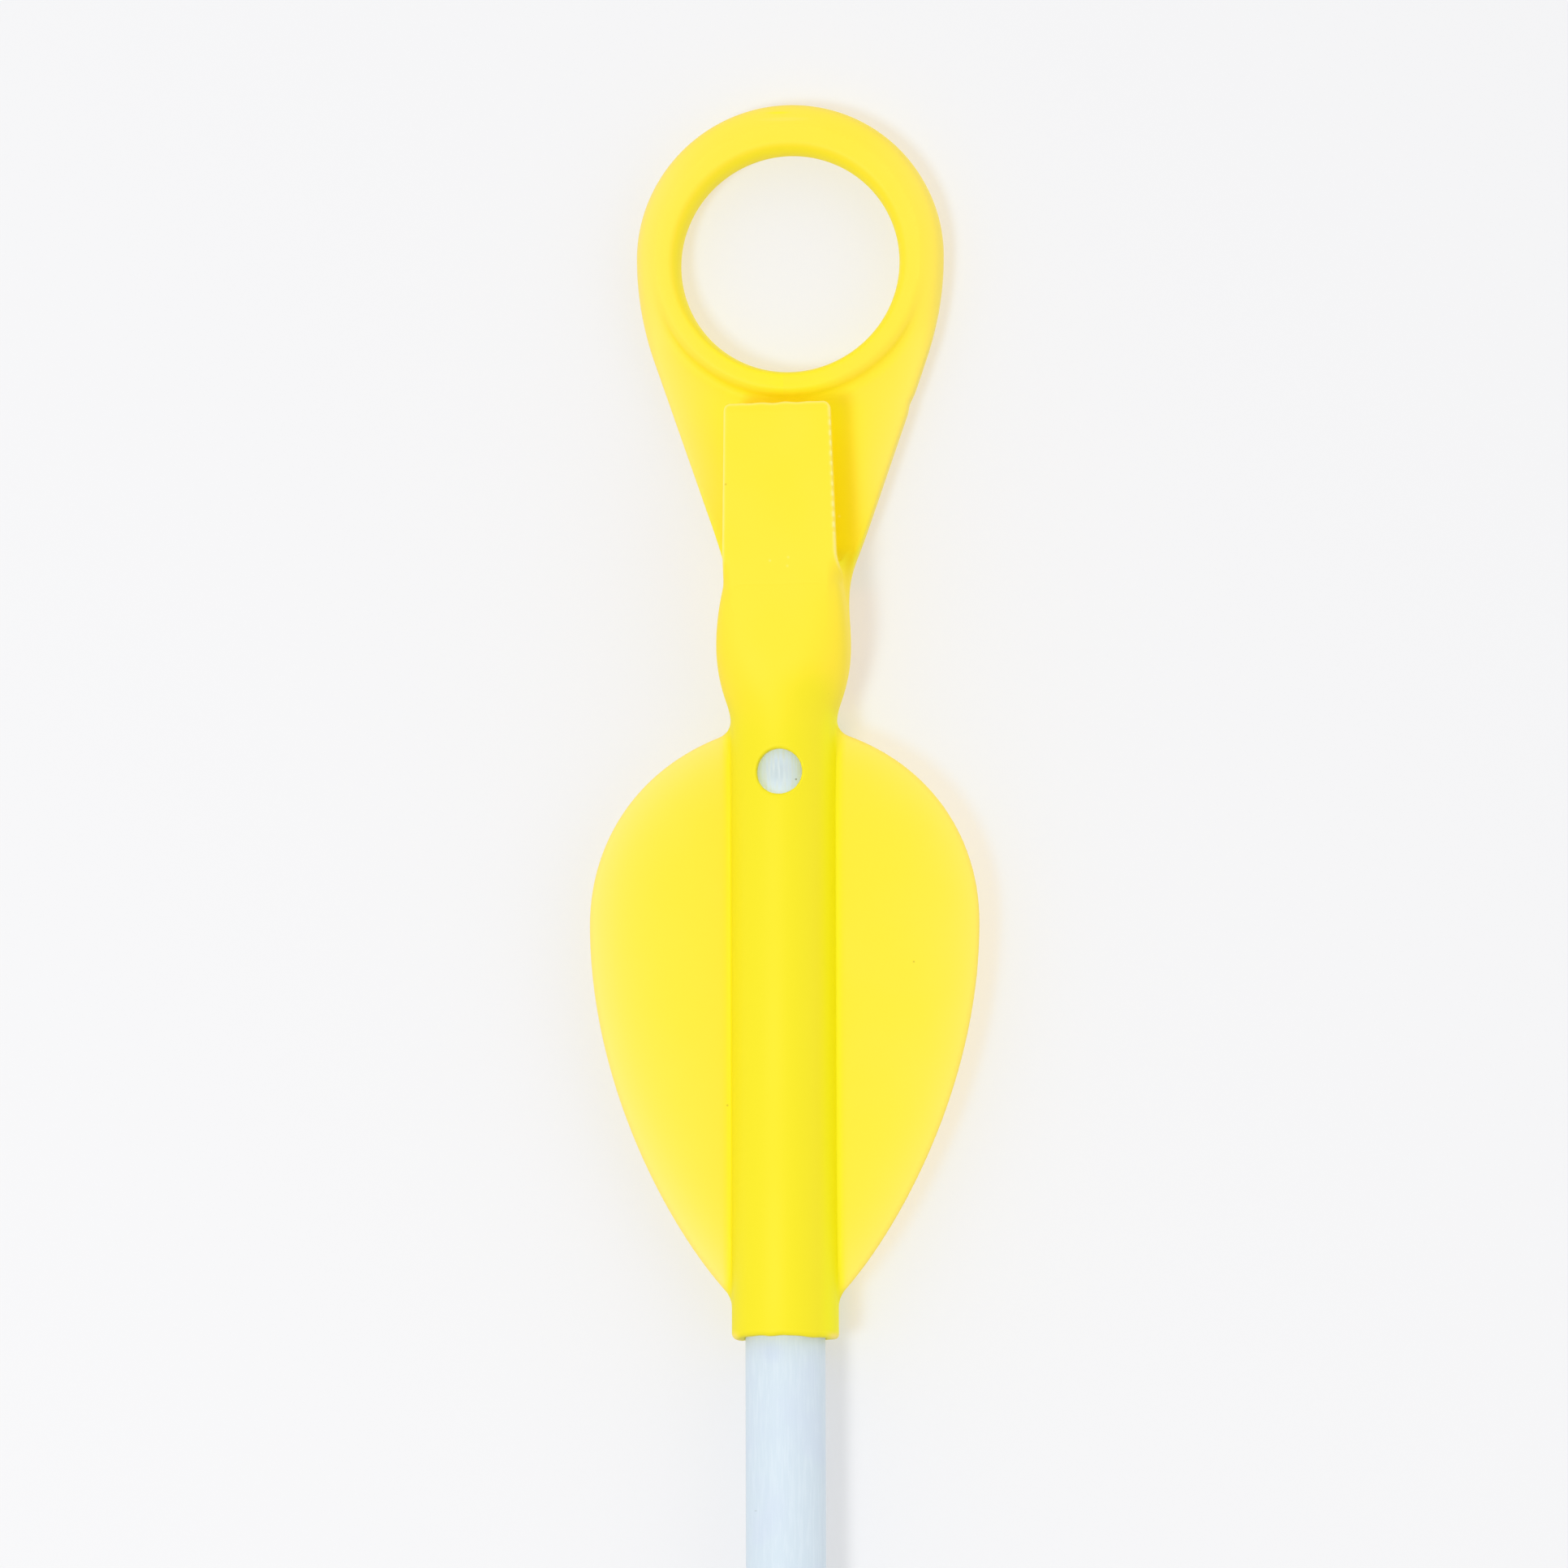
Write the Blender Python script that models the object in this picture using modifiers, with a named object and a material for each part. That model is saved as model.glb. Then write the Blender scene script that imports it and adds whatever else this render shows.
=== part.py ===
"""Ring-head wand: a moulded ring with a spring clip, on a fibreglass rod.

Metres, +Z up. The wand lies on its back with its front facing up, and +Y runs along the rod
towards the ring. Stations along the wand are distances from the mouth of the sleeve, where the
rod goes in, and heights across it are distances from the rod's axis.
"""
import math

import bmesh
import bpy

# Rod
ROD_DIAMETER = 0.0100
ROD_LENGTH = 0.3600
ROD_CHAMFER = 0.0006

# Gaps between pieces that sit in one another
ROD_CLEARANCE = 0.0003
END_CLEARANCE = 0.0003
HINGE_CLEARANCE = 0.0003

# Sleeve, the round socket that grips the rod, and the dome that closes it inside the neck
SLEEVE_WALL = 0.0014
SLEEVE_DEPTH = 0.0765
SLEEVE_LIP_ROUND = 0.0004
DOME_START = 0.0880
DOME_LENGTH = 0.0095
SIGHT_HOLE_DIAMETER = 0.0057
SIGHT_HOLE_STATION = 0.0706

# Leaf, the pair of thin wings on the sleeve
LEAF_HALF_WIDTH = 0.0246
LEAF_THICKNESS = 0.0024
LEAF_EDGE_ROUND = 0.0008
LEAF_BOTTOM_STATION = 0.0050
LEAF_WIDEST_STATION = 0.0520
LEAF_TOP_STATION = 0.0761
LEAF_SHOULDER_SLOPE = math.radians(18)
LEAF_SHOULDER_REACH = 0.0125
LEAF_UPPER_FULLNESS = 0.0105
LEAF_LOWER_FULLNESS = 0.0210
LEAF_TAIL_SLOPE = math.radians(46)
LEAF_TAIL_REACH = 0.0100
LEAF_SINK = 0.0008

# Bulge, the thick closed end of the clip above the neck
BULGE_SWELL = 0.0018
BULGE_WIDEST_STATION = 0.0870
BULGE_LOWER_RADIUS = 0.0206
BULGE_UPPER_RADIUS = 0.0448
BULGE_SHOULDER_STATION = 0.0938
BULGE_NOSE_LENGTH = 0.0037
BULGE_FACE_STEP = 0.00035

# Ring and the plate that tapers from it to the neck
HOLE_RADIUS = 0.0139
RING_STATION = 0.1362
RING_OUTER_RADIUS = 0.0195
RING_OUTER_RISE = 0.0008
RIM_WIDTH = 0.0034
RIM_HEIGHT = 0.0064
RIM_ROUND = 0.0012
PLATE_THICKNESS = 0.0028
PLATE_EDGE_ROUND = 0.0009
PLATE_SIDE_RADIUS = 0.0397
PLATE_SIDE_SLOPE = math.radians(19.1)

# Clip: the slot that takes a strap, and the spring tongue over it
CLIP_GAP = 0.0046
CLIP_END_STATION = 0.0979
CLIP_FILLET = 0.0020
CLIP_FILLET_SINK = 0.0001
CLIP_ROOT_WIDTH = 0.0154
TONGUE_THICKNESS = 0.0022
TONGUE_EDGE_ROUND = 0.0004
TONGUE_CORNER_RADIUS = 0.0008
TONGUE_ROOT_STATION = 0.0960
TONGUE_ROOT_WIDTH = 0.0144
TONGUE_TIP_STATION = 0.1171
TONGUE_TIP_WIDTH = 0.0134
KNUCKLE_RADIUS = 0.0015

# Cap on the rod's lower end
CAP_GRIP = 0.0180
CAP_DOME_LENGTH = 0.0042
CAP_LIP_ROUND = 0.0006

# Facets of round forms
TURNED_FACETS = 48
RIM_FACETS = 64
ARC_FACETS = 8
CURVE_FACETS = 12
EDGE_FACETS = 2
SHARP_ANGLE = math.radians(35)
WELD_DISTANCE = 0.000001

# Finishes
YELLOW_COLOUR = (0.95, 0.80, 0.02)
YELLOW_ROUGHNESS = 0.5
FIBREGLASS_COLOUR = (0.68, 0.77, 0.86)
FIBREGLASS_ROUGHNESS = 0.45

# Sizes that follow from the ones above
BORE_RADIUS = ROD_DIAMETER / 2 + ROD_CLEARANCE
SLEEVE_RADIUS = BORE_RADIUS + SLEEVE_WALL
BULGE_HALF_WIDTH = SLEEVE_RADIUS + BULGE_SWELL
BULGE_DEPTH_SHARE = (SLEEVE_RADIUS - BULGE_FACE_STEP) / BULGE_HALF_WIDTH
RIM_MIDDLE_RADIUS = HOLE_RADIUS + RIM_WIDTH / 2
PLATE_HEIGHT = RIM_HEIGHT / 2 - SLEEVE_RADIUS
PLATE_FRONT = PLATE_HEIGHT + PLATE_THICKNESS / 2
TONGUE_HEIGHT = PLATE_FRONT + CLIP_GAP + TONGUE_THICKNESS / 2
RING_OUTER_STATION = RING_STATION + RING_OUTER_RISE
RING_TOP_STATION = RING_OUTER_STATION + RING_OUTER_RADIUS
ROD_TOP_STATION = SLEEVE_DEPTH - END_CLEARANCE
ROD_BOTTOM_STATION = ROD_TOP_STATION - ROD_LENGTH
CAP_FLOOR_STATION = ROD_BOTTOM_STATION - END_CLEARANCE
CAP_MOUTH_STATION = CAP_FLOOR_STATION + CAP_GRIP
CAP_END_STATION = CAP_FLOOR_STATION - SLEEVE_WALL - CAP_DOME_LENGTH
MIDDLE_STATION = (RING_TOP_STATION + CAP_END_STATION) / 2
CUT_MARGIN = SLEEVE_RADIUS / 2
HALF_FACET = math.pi / TURNED_FACETS


def arc(centre_x, centre_y, radius, start, end, facets):
    """Points along a circular arc, from angle start to angle end, both ends included."""
    points = []
    for step in range(facets + 1):
        angle = start + (end - start) * step / facets
        points.append((centre_x + radius * math.cos(angle), centre_y + radius * math.sin(angle)))
    return points


def quarter_dome(radius, base, length, facets):
    """Profile points from the tip of a dome on the axis down to its full radius."""
    points = []
    for step in range(facets + 1):
        angle = math.pi / 2 * (1 - step / facets)
        points.append((radius * math.cos(angle), base + length * math.sin(angle)))
    return points


def mirrored(right_side, on_centre_line=()):
    """A closed outline from its right half, listed from the bottom up."""
    left_side = [(-x, y) for x, y in reversed(right_side)]
    return [*right_side, *on_centre_line, *left_side]


def place(obj, collection):
    """Put an object in a collection, on the wand's own axes."""
    collection.objects.link(obj)
    obj.parent = wand
    return obj


def turned(name, profile, collection, start=0):
    """A solid turned about the wand's axis from (radius, station) points, listed ring end first.

    The first of its corners stands at angle start, so that two solids can keep their corners apart.
    """
    mesh = bpy.data.meshes.new(name)
    edges = [(index, index + 1) for index in range(len(profile) - 1)]
    points = [(radius * math.cos(start), radius * math.sin(start), station) for radius, station in profile]
    mesh.from_pydata(points, edges, [])
    obj = place(bpy.data.objects.new(name, mesh), collection)
    obj.rotation_euler.x = -math.pi / 2
    add_screw(obj, TURNED_FACETS)
    return obj


def add_screw(obj, facets):
    """Spin a profile once round its own Z axis."""
    screw = obj.modifiers.new("turn", "SCREW")
    screw.steps = facets
    screw.render_steps = facets
    screw.use_merge_vertices = True
    screw.merge_threshold = WELD_DISTANCE
    screw.use_smooth_shade = True


def flat_solid(name, outlines, thickness, edge_round, collection):
    """A plate from closed outlines in the XY plane, with its edges rounded, centred on Z = 0."""
    curve = bpy.data.curves.new(name, "CURVE")
    curve.dimensions = "2D"
    curve.fill_mode = "BOTH"
    curve.extrude = thickness / 2 - edge_round
    curve.bevel_depth = edge_round
    curve.bevel_resolution = EDGE_FACETS
    curve.offset = -edge_round
    for outline in outlines:
        outline(curve)
    return mesh_from_curve(name, curve, collection)


def side_profile(name, outline, width, collection):
    """A solid as wide as given, from a closed outline of (station, height) points."""
    solid = flat_solid(name, [polygon(outline)], width, 0, collection)
    solid.rotation_euler = (math.pi / 2, 0, math.pi / 2)
    return solid


def round_bar(name, radius, length, facets):
    """A plain round bar along Z, for joining or cutting."""
    bpy.ops.mesh.primitive_cylinder_add(vertices=facets, radius=radius, depth=length)
    bar = bpy.context.object
    bar.name = name
    bpy.context.collection.objects.unlink(bar)
    return place(bar, tools)


def mesh_from_curve(name, curve, collection):
    """Turn a curve into a closed mesh object, with its caps welded on."""
    guide = place(bpy.data.objects.new(name + "_curve", curve), collection)
    evaluated = guide.evaluated_get(bpy.context.evaluated_depsgraph_get())
    mesh = bpy.data.meshes.new_from_object(evaluated)
    bpy.data.objects.remove(guide)
    bpy.data.curves.remove(curve)
    welded = bmesh.new()
    welded.from_mesh(mesh)
    bmesh.ops.remove_doubles(welded, verts=welded.verts, dist=WELD_DISTANCE)
    bmesh.ops.recalc_face_normals(welded, faces=welded.faces)
    welded.to_mesh(mesh)
    welded.free()
    mesh.name = name
    return place(bpy.data.objects.new(name, mesh), collection)


def polygon(points):
    """An outline that runs straight from point to point."""
    def add_to(curve):
        spline = curve.splines.new("POLY")
        spline.points.add(len(points) - 1)
        for spline_point, (x, y) in zip(spline.points, points):
            spline_point.co = (x, y, 0, 1)
        spline.use_cyclic_u = True
    return add_to


def leaf_outline(curve):
    """The leaf: a smooth curve through shoulder, widest point and tail on each side."""
    inside_sleeve = SLEEVE_RADIUS - LEAF_SINK
    shoulder = (inside_sleeve, LEAF_TOP_STATION + LEAF_SINK * math.tan(LEAF_SHOULDER_SLOPE))
    widest = (LEAF_HALF_WIDTH, LEAF_WIDEST_STATION)
    tail = (inside_sleeve, LEAF_BOTTOM_STATION - LEAF_SINK * math.tan(LEAF_TAIL_SLOPE))
    shoulder_handle = (
        shoulder[0] + LEAF_SHOULDER_REACH * math.cos(LEAF_SHOULDER_SLOPE),
        shoulder[1] - LEAF_SHOULDER_REACH * math.sin(LEAF_SHOULDER_SLOPE),
    )
    tail_handle = (
        tail[0] + LEAF_TAIL_REACH * math.cos(LEAF_TAIL_SLOPE),
        tail[1] + LEAF_TAIL_REACH * math.sin(LEAF_TAIL_SLOPE),
    )
    widest_below = (widest[0], widest[1] - LEAF_LOWER_FULLNESS)
    widest_above = (widest[0], widest[1] + LEAF_UPPER_FULLNESS)
    right_side = [
        (tail, tail, tail_handle),
        (widest, widest_below, widest_above),
        (shoulder, shoulder_handle, shoulder),
    ]
    left_side = [
        tuple((-x, y) for x, y in (point, after, before))
        for point, before, after in reversed(right_side)
    ]
    spline = curve.splines.new("BEZIER")
    spline.resolution_u = CURVE_FACETS
    spline.bezier_points.add(len(right_side) + len(left_side) - 1)
    for knot, (point, before, after) in zip(spline.bezier_points, right_side + left_side):
        knot.handle_left_type = "FREE"
        knot.handle_right_type = "FREE"
        knot.co = (*point, 0)
        knot.handle_left = (*before, 0)
        knot.handle_right = (*after, 0)
    spline.use_cyclic_u = True


def boolean(target, operation, tool):
    """Join a tool to a piece, or cut it away."""
    modifier = target.modifiers.new(tool.name, "BOOLEAN")
    modifier.operation = operation
    modifier.solver = "EXACT"
    modifier.object = tool
    tool.hide_render = True
    tool.display_type = "WIRE"


def plastic(name, colour, roughness):
    """A plain material with one colour."""
    material = bpy.data.materials.new(name)
    material.use_nodes = True
    shader = material.node_tree.nodes["Principled BSDF"]
    shader.inputs["Base Color"].default_value = (*colour, 1)
    shader.inputs["Roughness"].default_value = roughness
    shader.inputs["Metallic"].default_value = 0.0
    return material


def finish(obj, material):
    """Give a finished piece its material and smooth its round faces."""
    obj.data.materials.clear()
    obj.data.materials.append(material)
    obj.data.shade_smooth()
    obj.data.set_sharp_from_angle(angle=SHARP_ANGLE)


def build_plate():
    """Ring plate: a round head with long tapering sides that end inside the bulge."""
    side_centre = RING_OUTER_RADIUS - PLATE_SIDE_RADIUS
    side = arc(side_centre, RING_OUTER_STATION, PLATE_SIDE_RADIUS, -PLATE_SIDE_SLOPE, 0, ARC_FACETS)
    side_end_x, side_end_y = side[0]
    taper = (side_end_y - BULGE_WIDEST_STATION) * math.tan(PLATE_SIDE_SLOPE)
    foot = (side_end_x - taper, BULGE_WIDEST_STATION)
    crown = arc(0, RING_OUTER_STATION, RING_OUTER_RADIUS, 0, math.pi / 2, 2 * ARC_FACETS)
    outline = mirrored([foot] + side + crown[1:-1], [(0, RING_TOP_STATION)])
    hole = arc(0, RING_STATION, RIM_MIDDLE_RADIUS, 0, 2 * math.pi, RIM_FACETS)[:-1]
    plate = flat_solid(
        "ring_head", [polygon(outline), polygon(hole)], PLATE_THICKNESS, PLATE_EDGE_ROUND, parts
    )
    plate.location.z = PLATE_HEIGHT
    return plate


def build_rim():
    """Raised rim round the hole: a rounded bar turned about the hole's centre."""
    half_width = RIM_WIDTH / 2 - RIM_ROUND
    half_height = RIM_HEIGHT / 2 - RIM_ROUND
    profile = []
    for quarter, (side, level) in enumerate(((1, 1), (1, -1), (-1, -1), (-1, 1))):
        start = math.pi / 2 * (1 - quarter)
        centre_x = RIM_MIDDLE_RADIUS + side * half_width
        centre_z = level * half_height
        profile += arc(centre_x, centre_z, RIM_ROUND, start, start - math.pi / 2, ARC_FACETS // 2)
    mesh = bpy.data.meshes.new("rim")
    edges = [(index, (index + 1) % len(profile)) for index in range(len(profile))]
    mesh.from_pydata([(radius, 0, height) for radius, height in profile], edges, [])
    rim = place(bpy.data.objects.new("rim", mesh), tools)
    rim.location = (0, RING_STATION, PLATE_HEIGHT)
    add_screw(rim, RIM_FACETS)
    return rim


def build_sleeve():
    """Round bar of the sleeve, domed at the end that closes the clip."""
    dome = quarter_dome(SLEEVE_RADIUS, DOME_START, DOME_LENGTH, ARC_FACETS)
    lip = [
        (SLEEVE_RADIUS, SLEEVE_LIP_ROUND),
        (SLEEVE_RADIUS - SLEEVE_LIP_ROUND, 0),
        (0, 0),
    ]
    return turned("sleeve", dome + lip, tools)


def build_bulge():
    """Bulge beside the dome: a barrel, pressed flat so that it swells to the sides only."""
    def swell_radius(station):
        if station < BULGE_WIDEST_STATION:
            curve_radius = BULGE_LOWER_RADIUS
        else:
            curve_radius = BULGE_UPPER_RADIUS
        offset = station - BULGE_WIDEST_STATION
        return BULGE_HALF_WIDTH - curve_radius + math.sqrt(curve_radius**2 - offset**2)

    def stretch(start, end):
        return [start + (end - start) * step / ARC_FACETS for step in range(1, ARC_FACETS + 1)]

    shoulder_radius = swell_radius(BULGE_SHOULDER_STATION)
    nose = quarter_dome(shoulder_radius, BULGE_SHOULDER_STATION, BULGE_NOSE_LENGTH, ARC_FACETS)
    root_station = BULGE_WIDEST_STATION - BULGE_LOWER_RADIUS / 2
    upper = [
        (swell_radius(station), station)
        for station in stretch(BULGE_SHOULDER_STATION, BULGE_WIDEST_STATION)
    ]
    lower = [
        (swell_radius(station), station) for station in stretch(BULGE_WIDEST_STATION, root_station)
    ]
    barrel = turned("bulge", nose + upper + lower + [(0, root_station)], tools, start=HALF_FACET)
    barrel.scale.y = BULGE_DEPTH_SHARE
    return barrel


def build_clip_root():
    """Shoulder that ends the clip's slot: it rises from the plate in a fillet, under the tongue's root."""
    fillet_station = CLIP_END_STATION + CLIP_FILLET
    fillet_height = PLATE_FRONT + CLIP_FILLET - CLIP_FILLET_SINK
    fillet = arc(fillet_station, fillet_height, CLIP_FILLET, -math.pi / 2, -math.pi, ARC_FACETS)
    shoulder_height = TONGUE_HEIGHT - KNUCKLE_RADIUS
    outline = [
        (BULGE_WIDEST_STATION, PLATE_HEIGHT),
        (fillet_station, PLATE_HEIGHT),
        *fillet,
        (CLIP_END_STATION, shoulder_height),
        (BULGE_WIDEST_STATION, shoulder_height),
    ]
    return side_profile("clip_root", outline, CLIP_ROOT_WIDTH, tools)


def build_leaf():
    """Two thin wings in the plane of the rod's axis."""
    return flat_solid("leaf", [leaf_outline], LEAF_THICKNESS, LEAF_EDGE_ROUND, tools)


def build_bore():
    """Cutter for the rod's socket."""
    profile = [
        (0, SLEEVE_DEPTH),
        (BORE_RADIUS, SLEEVE_DEPTH),
        (BORE_RADIUS, -CUT_MARGIN),
        (0, -CUT_MARGIN),
    ]
    return turned("bore", profile, tools, start=HALF_FACET)


def build_sight_hole():
    """Cutter for the round hole in the front of the sleeve that shows the rod."""
    depth = SLEEVE_RADIUS + CUT_MARGIN
    cutter = round_bar("sight_hole", SIGHT_HOLE_DIAMETER / 2, depth, TURNED_FACETS)
    cutter.rotation_euler.z = HALF_FACET
    cutter.location = (0, SIGHT_HOLE_STATION, depth / 2)
    return cutter


def build_tongue_seat():
    """Cutter for the round seat of the tongue's root and the free space over it."""
    radius = KNUCKLE_RADIUS + HINGE_CLEARANCE
    ceiling = SLEEVE_RADIUS + CUT_MARGIN - TONGUE_HEIGHT
    front = CLIP_END_STATION - TONGUE_ROOT_STATION + CUT_MARGIN
    seat = arc(0, 0, radius, math.pi / 2, math.pi * 3 / 2, 2 * ARC_FACETS)
    outline = [(0, ceiling)] + seat + [(front, -radius), (front, ceiling)]
    cutter = side_profile("tongue_seat", outline, 2 * LEAF_HALF_WIDTH, tools)
    cutter.location = (0, TONGUE_ROOT_STATION, TONGUE_HEIGHT)
    return cutter


def build_head():
    """The yellow moulding: ring, plate, neck, sleeve and leaf in one body."""
    head = build_plate()
    for form in (build_rim(), build_sleeve(), build_bulge(), build_clip_root(), build_leaf()):
        boolean(head, "UNION", form)
    for cutter in (build_bore(), build_sight_hole(), build_tongue_seat()):
        boolean(head, "DIFFERENCE", cutter)
    finish(head, yellow)


def build_tongue():
    """Spring tongue: a tapering strip on a round root, with its origin on the root's axis."""
    length = TONGUE_TIP_STATION - TONGUE_ROOT_STATION
    corner = arc(
        TONGUE_TIP_WIDTH / 2 - TONGUE_CORNER_RADIUS,
        length - TONGUE_CORNER_RADIUS,
        TONGUE_CORNER_RADIUS,
        0,
        math.pi / 2,
        ARC_FACETS // 2,
    )
    outline = mirrored([(TONGUE_ROOT_WIDTH / 2, 0)] + corner)
    tongue = flat_solid(
        "clip_tongue", [polygon(outline)], TONGUE_THICKNESS, TONGUE_EDGE_ROUND, parts
    )
    tongue.location = (0, TONGUE_ROOT_STATION, TONGUE_HEIGHT)
    knuckle = round_bar("tongue_knuckle", KNUCKLE_RADIUS, TONGUE_ROOT_WIDTH, 4 * ARC_FACETS)
    knuckle.rotation_euler.y = math.pi / 2
    knuckle.location = tongue.location
    boolean(tongue, "UNION", knuckle)
    finish(tongue, yellow)


def build_rod():
    """Straight round rod, chamfered at both cut ends."""
    radius = ROD_DIAMETER / 2
    profile = [
        (0, ROD_TOP_STATION),
        (radius - ROD_CHAMFER, ROD_TOP_STATION),
        (radius, ROD_TOP_STATION - ROD_CHAMFER),
        (radius, ROD_BOTTOM_STATION + ROD_CHAMFER),
        (radius - ROD_CHAMFER, ROD_BOTTOM_STATION),
        (0, ROD_BOTTOM_STATION),
    ]
    finish(turned("fibreglass_rod", profile, parts), fibreglass)


def build_cap():
    """Push-on cap with a domed end, as thick as the sleeve so that the wand lies level."""
    socket = [
        (0, CAP_FLOOR_STATION),
        (BORE_RADIUS, CAP_FLOOR_STATION),
        (BORE_RADIUS, CAP_MOUTH_STATION),
        (SLEEVE_RADIUS - CAP_LIP_ROUND, CAP_MOUTH_STATION),
        (SLEEVE_RADIUS, CAP_MOUTH_STATION - CAP_LIP_ROUND),
    ]
    dome_start = CAP_END_STATION + CAP_DOME_LENGTH
    dome = quarter_dome(SLEEVE_RADIUS, dome_start, -CAP_DOME_LENGTH, ARC_FACETS)
    finish(turned("rod_end_cap", socket + dome[::-1], parts), yellow)


for old in list(bpy.data.objects):
    bpy.data.objects.remove(old)

parts = bpy.data.collections.new("ring_head_wand")
tools = bpy.data.collections.new("shaping_tools")
for collection in (parts, tools):
    bpy.context.scene.collection.children.link(collection)

wand = bpy.data.objects.new("wand", None)
wand.location = (0, -MIDDLE_STATION, SLEEVE_RADIUS)
parts.objects.link(wand)

yellow = plastic("yellow_plastic", YELLOW_COLOUR, YELLOW_ROUGHNESS)
fibreglass = plastic("pale_fibreglass", FIBREGLASS_COLOUR, FIBREGLASS_ROUGHNESS)

build_head()
build_tongue()
build_rod()
build_cap()
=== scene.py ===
"""The looks of a ring-head wand: one satin yellow moulding and its spring tongue, on a glass-fibre rod.

Metres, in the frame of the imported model: +Y runs along the rod towards the ring, and the wand lies on
its back. Stations are distances along it from the sleeve's mouth, heights are distances from its axis.
A span holds the two places or values between which something changes.
"""

import math

import bpy
import numpy as np
from mathutils import Matrix, Vector


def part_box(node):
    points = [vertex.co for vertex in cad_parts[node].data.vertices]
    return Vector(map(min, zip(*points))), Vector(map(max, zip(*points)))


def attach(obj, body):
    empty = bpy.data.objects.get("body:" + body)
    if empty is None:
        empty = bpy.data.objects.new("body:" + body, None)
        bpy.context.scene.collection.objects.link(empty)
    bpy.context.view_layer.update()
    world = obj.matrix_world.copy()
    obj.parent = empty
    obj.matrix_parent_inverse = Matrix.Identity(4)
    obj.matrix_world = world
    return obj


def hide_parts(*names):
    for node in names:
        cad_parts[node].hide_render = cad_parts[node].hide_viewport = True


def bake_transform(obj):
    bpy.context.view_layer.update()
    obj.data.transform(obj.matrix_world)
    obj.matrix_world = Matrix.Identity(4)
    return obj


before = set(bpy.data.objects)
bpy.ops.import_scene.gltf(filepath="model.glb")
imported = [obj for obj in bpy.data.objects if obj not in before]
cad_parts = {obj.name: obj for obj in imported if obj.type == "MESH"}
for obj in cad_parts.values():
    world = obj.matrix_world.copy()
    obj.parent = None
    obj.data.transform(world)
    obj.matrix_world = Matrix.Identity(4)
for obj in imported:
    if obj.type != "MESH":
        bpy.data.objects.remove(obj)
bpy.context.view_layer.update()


# Fibreglass rod
# A stock pultruded rod of glass fibre in a pale resin, drawn through a round die and sawn to length.
# The sleeve is moulded round its upper end. Fine flutes and fibre streaks run along it.
rod_low, rod_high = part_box("fibreglass_rod")
head_low, head_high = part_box("ring_head")
rod_radius = (rod_high.x - rod_low.x) / 2
axis_height = (rod_low.z + rod_high.z) / 2
mouth_y = head_low.y

ROD_CHAMFER = 0.0006
ROD_SIDES = 144
ROD_RINGS = 90
FLUTE_DEPTH = 0.00001
COARSE_FLUTES = 23
FINE_FLUTES = 41
FINE_FLUTE_SHARE = 0.7
FINE_FLUTE_TURN = 1.7
FLUTE_WANDER = 0.35
FLUTE_WANDER_RATE = 0.45


def named_mesh(name, points, faces):
    """A smooth-shaded object in the frame's own axes, from points and faces."""
    mesh = bpy.data.meshes.new(name)
    mesh.from_pydata(points, [], faces)
    mesh.shade_smooth()
    piece = bpy.data.objects.new(name, mesh)
    bpy.context.scene.collection.objects.link(piece)
    return piece


def turned_piece(name, profile, sides, flute=None):
    """A closed solid turned about the wand's axis from (radius, y) points that begin and end on it."""
    points = [(0, profile[0][1], axis_height)]
    for radius, y in profile[1:-1]:
        for side in range(sides):
            angle = 2 * math.pi * side / sides
            reach = radius - (flute(angle, y) if flute else 0)
            points.append((reach * math.cos(angle), y, axis_height + reach * math.sin(angle)))
    points.append((0, profile[-1][1], axis_height))
    faces = []
    last = len(points) - 1
    rings = len(profile) - 2
    for side in range(sides):
        beside = (side + 1) % sides
        faces.append((0, 1 + side, 1 + beside))
        for ring in range(rings - 1):
            start = 1 + ring * sides
            faces.append((start + side, start + sides + side, start + sides + beside, start + beside))
        end = 1 + (rings - 1) * sides
        faces.append((end + beside, end + side, last))
    return named_mesh(name, points, faces)


def rod_flute(angle, y):
    """Depth of the shallow drawn flutes at one place on the rod."""
    wander = FLUTE_WANDER * math.sin(FLUTE_WANDER_RATE * y / rod_radius)
    coarse = math.sin(COARSE_FLUTES * angle + wander)
    fine = FINE_FLUTE_SHARE * math.sin(FINE_FLUTES * angle + FINE_FLUTE_TURN - wander)
    return FLUTE_DEPTH * (1 + (coarse + fine) / (1 + FINE_FLUTE_SHARE)) / 2


rod_bottom = rod_low.y + ROD_CHAMFER
rod_top = rod_high.y - ROD_CHAMFER
rod_profile = [(0, rod_low.y), (rod_radius - ROD_CHAMFER, rod_low.y)]
for ring in range(ROD_RINGS, -1, -1):
    rod_profile.append((rod_radius, rod_top + (rod_bottom - rod_top) * (ring / ROD_RINGS)))
rod_profile += [(rod_radius - ROD_CHAMFER, rod_high.y), (0, rod_high.y)]
rod = turned_piece("pultruded_rod", rod_profile, ROD_SIDES, rod_flute)


def math_node(tree, operation, first, second):
    """One sum on two sockets or numbers."""
    node = tree.nodes.new("ShaderNodeMath")
    node.operation = operation
    for socket, value in zip(node.inputs, (first, second)):
        if isinstance(value, (int, float)):
            socket.default_value = value
        else:
            tree.links.new(value, socket)
    return node.outputs[0]


def fitted(tree, value, low, high):
    """A value turned into a mask that climbs from 0 at low to 1 at high."""
    node = tree.nodes.new("ShaderNodeMapRange")
    node.interpolation_type = "SMOOTHSTEP"
    tree.links.new(value, node.inputs["Value"])
    node.inputs["From Min"].default_value = low
    node.inputs["From Max"].default_value = high
    return node.outputs["Result"]


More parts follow.
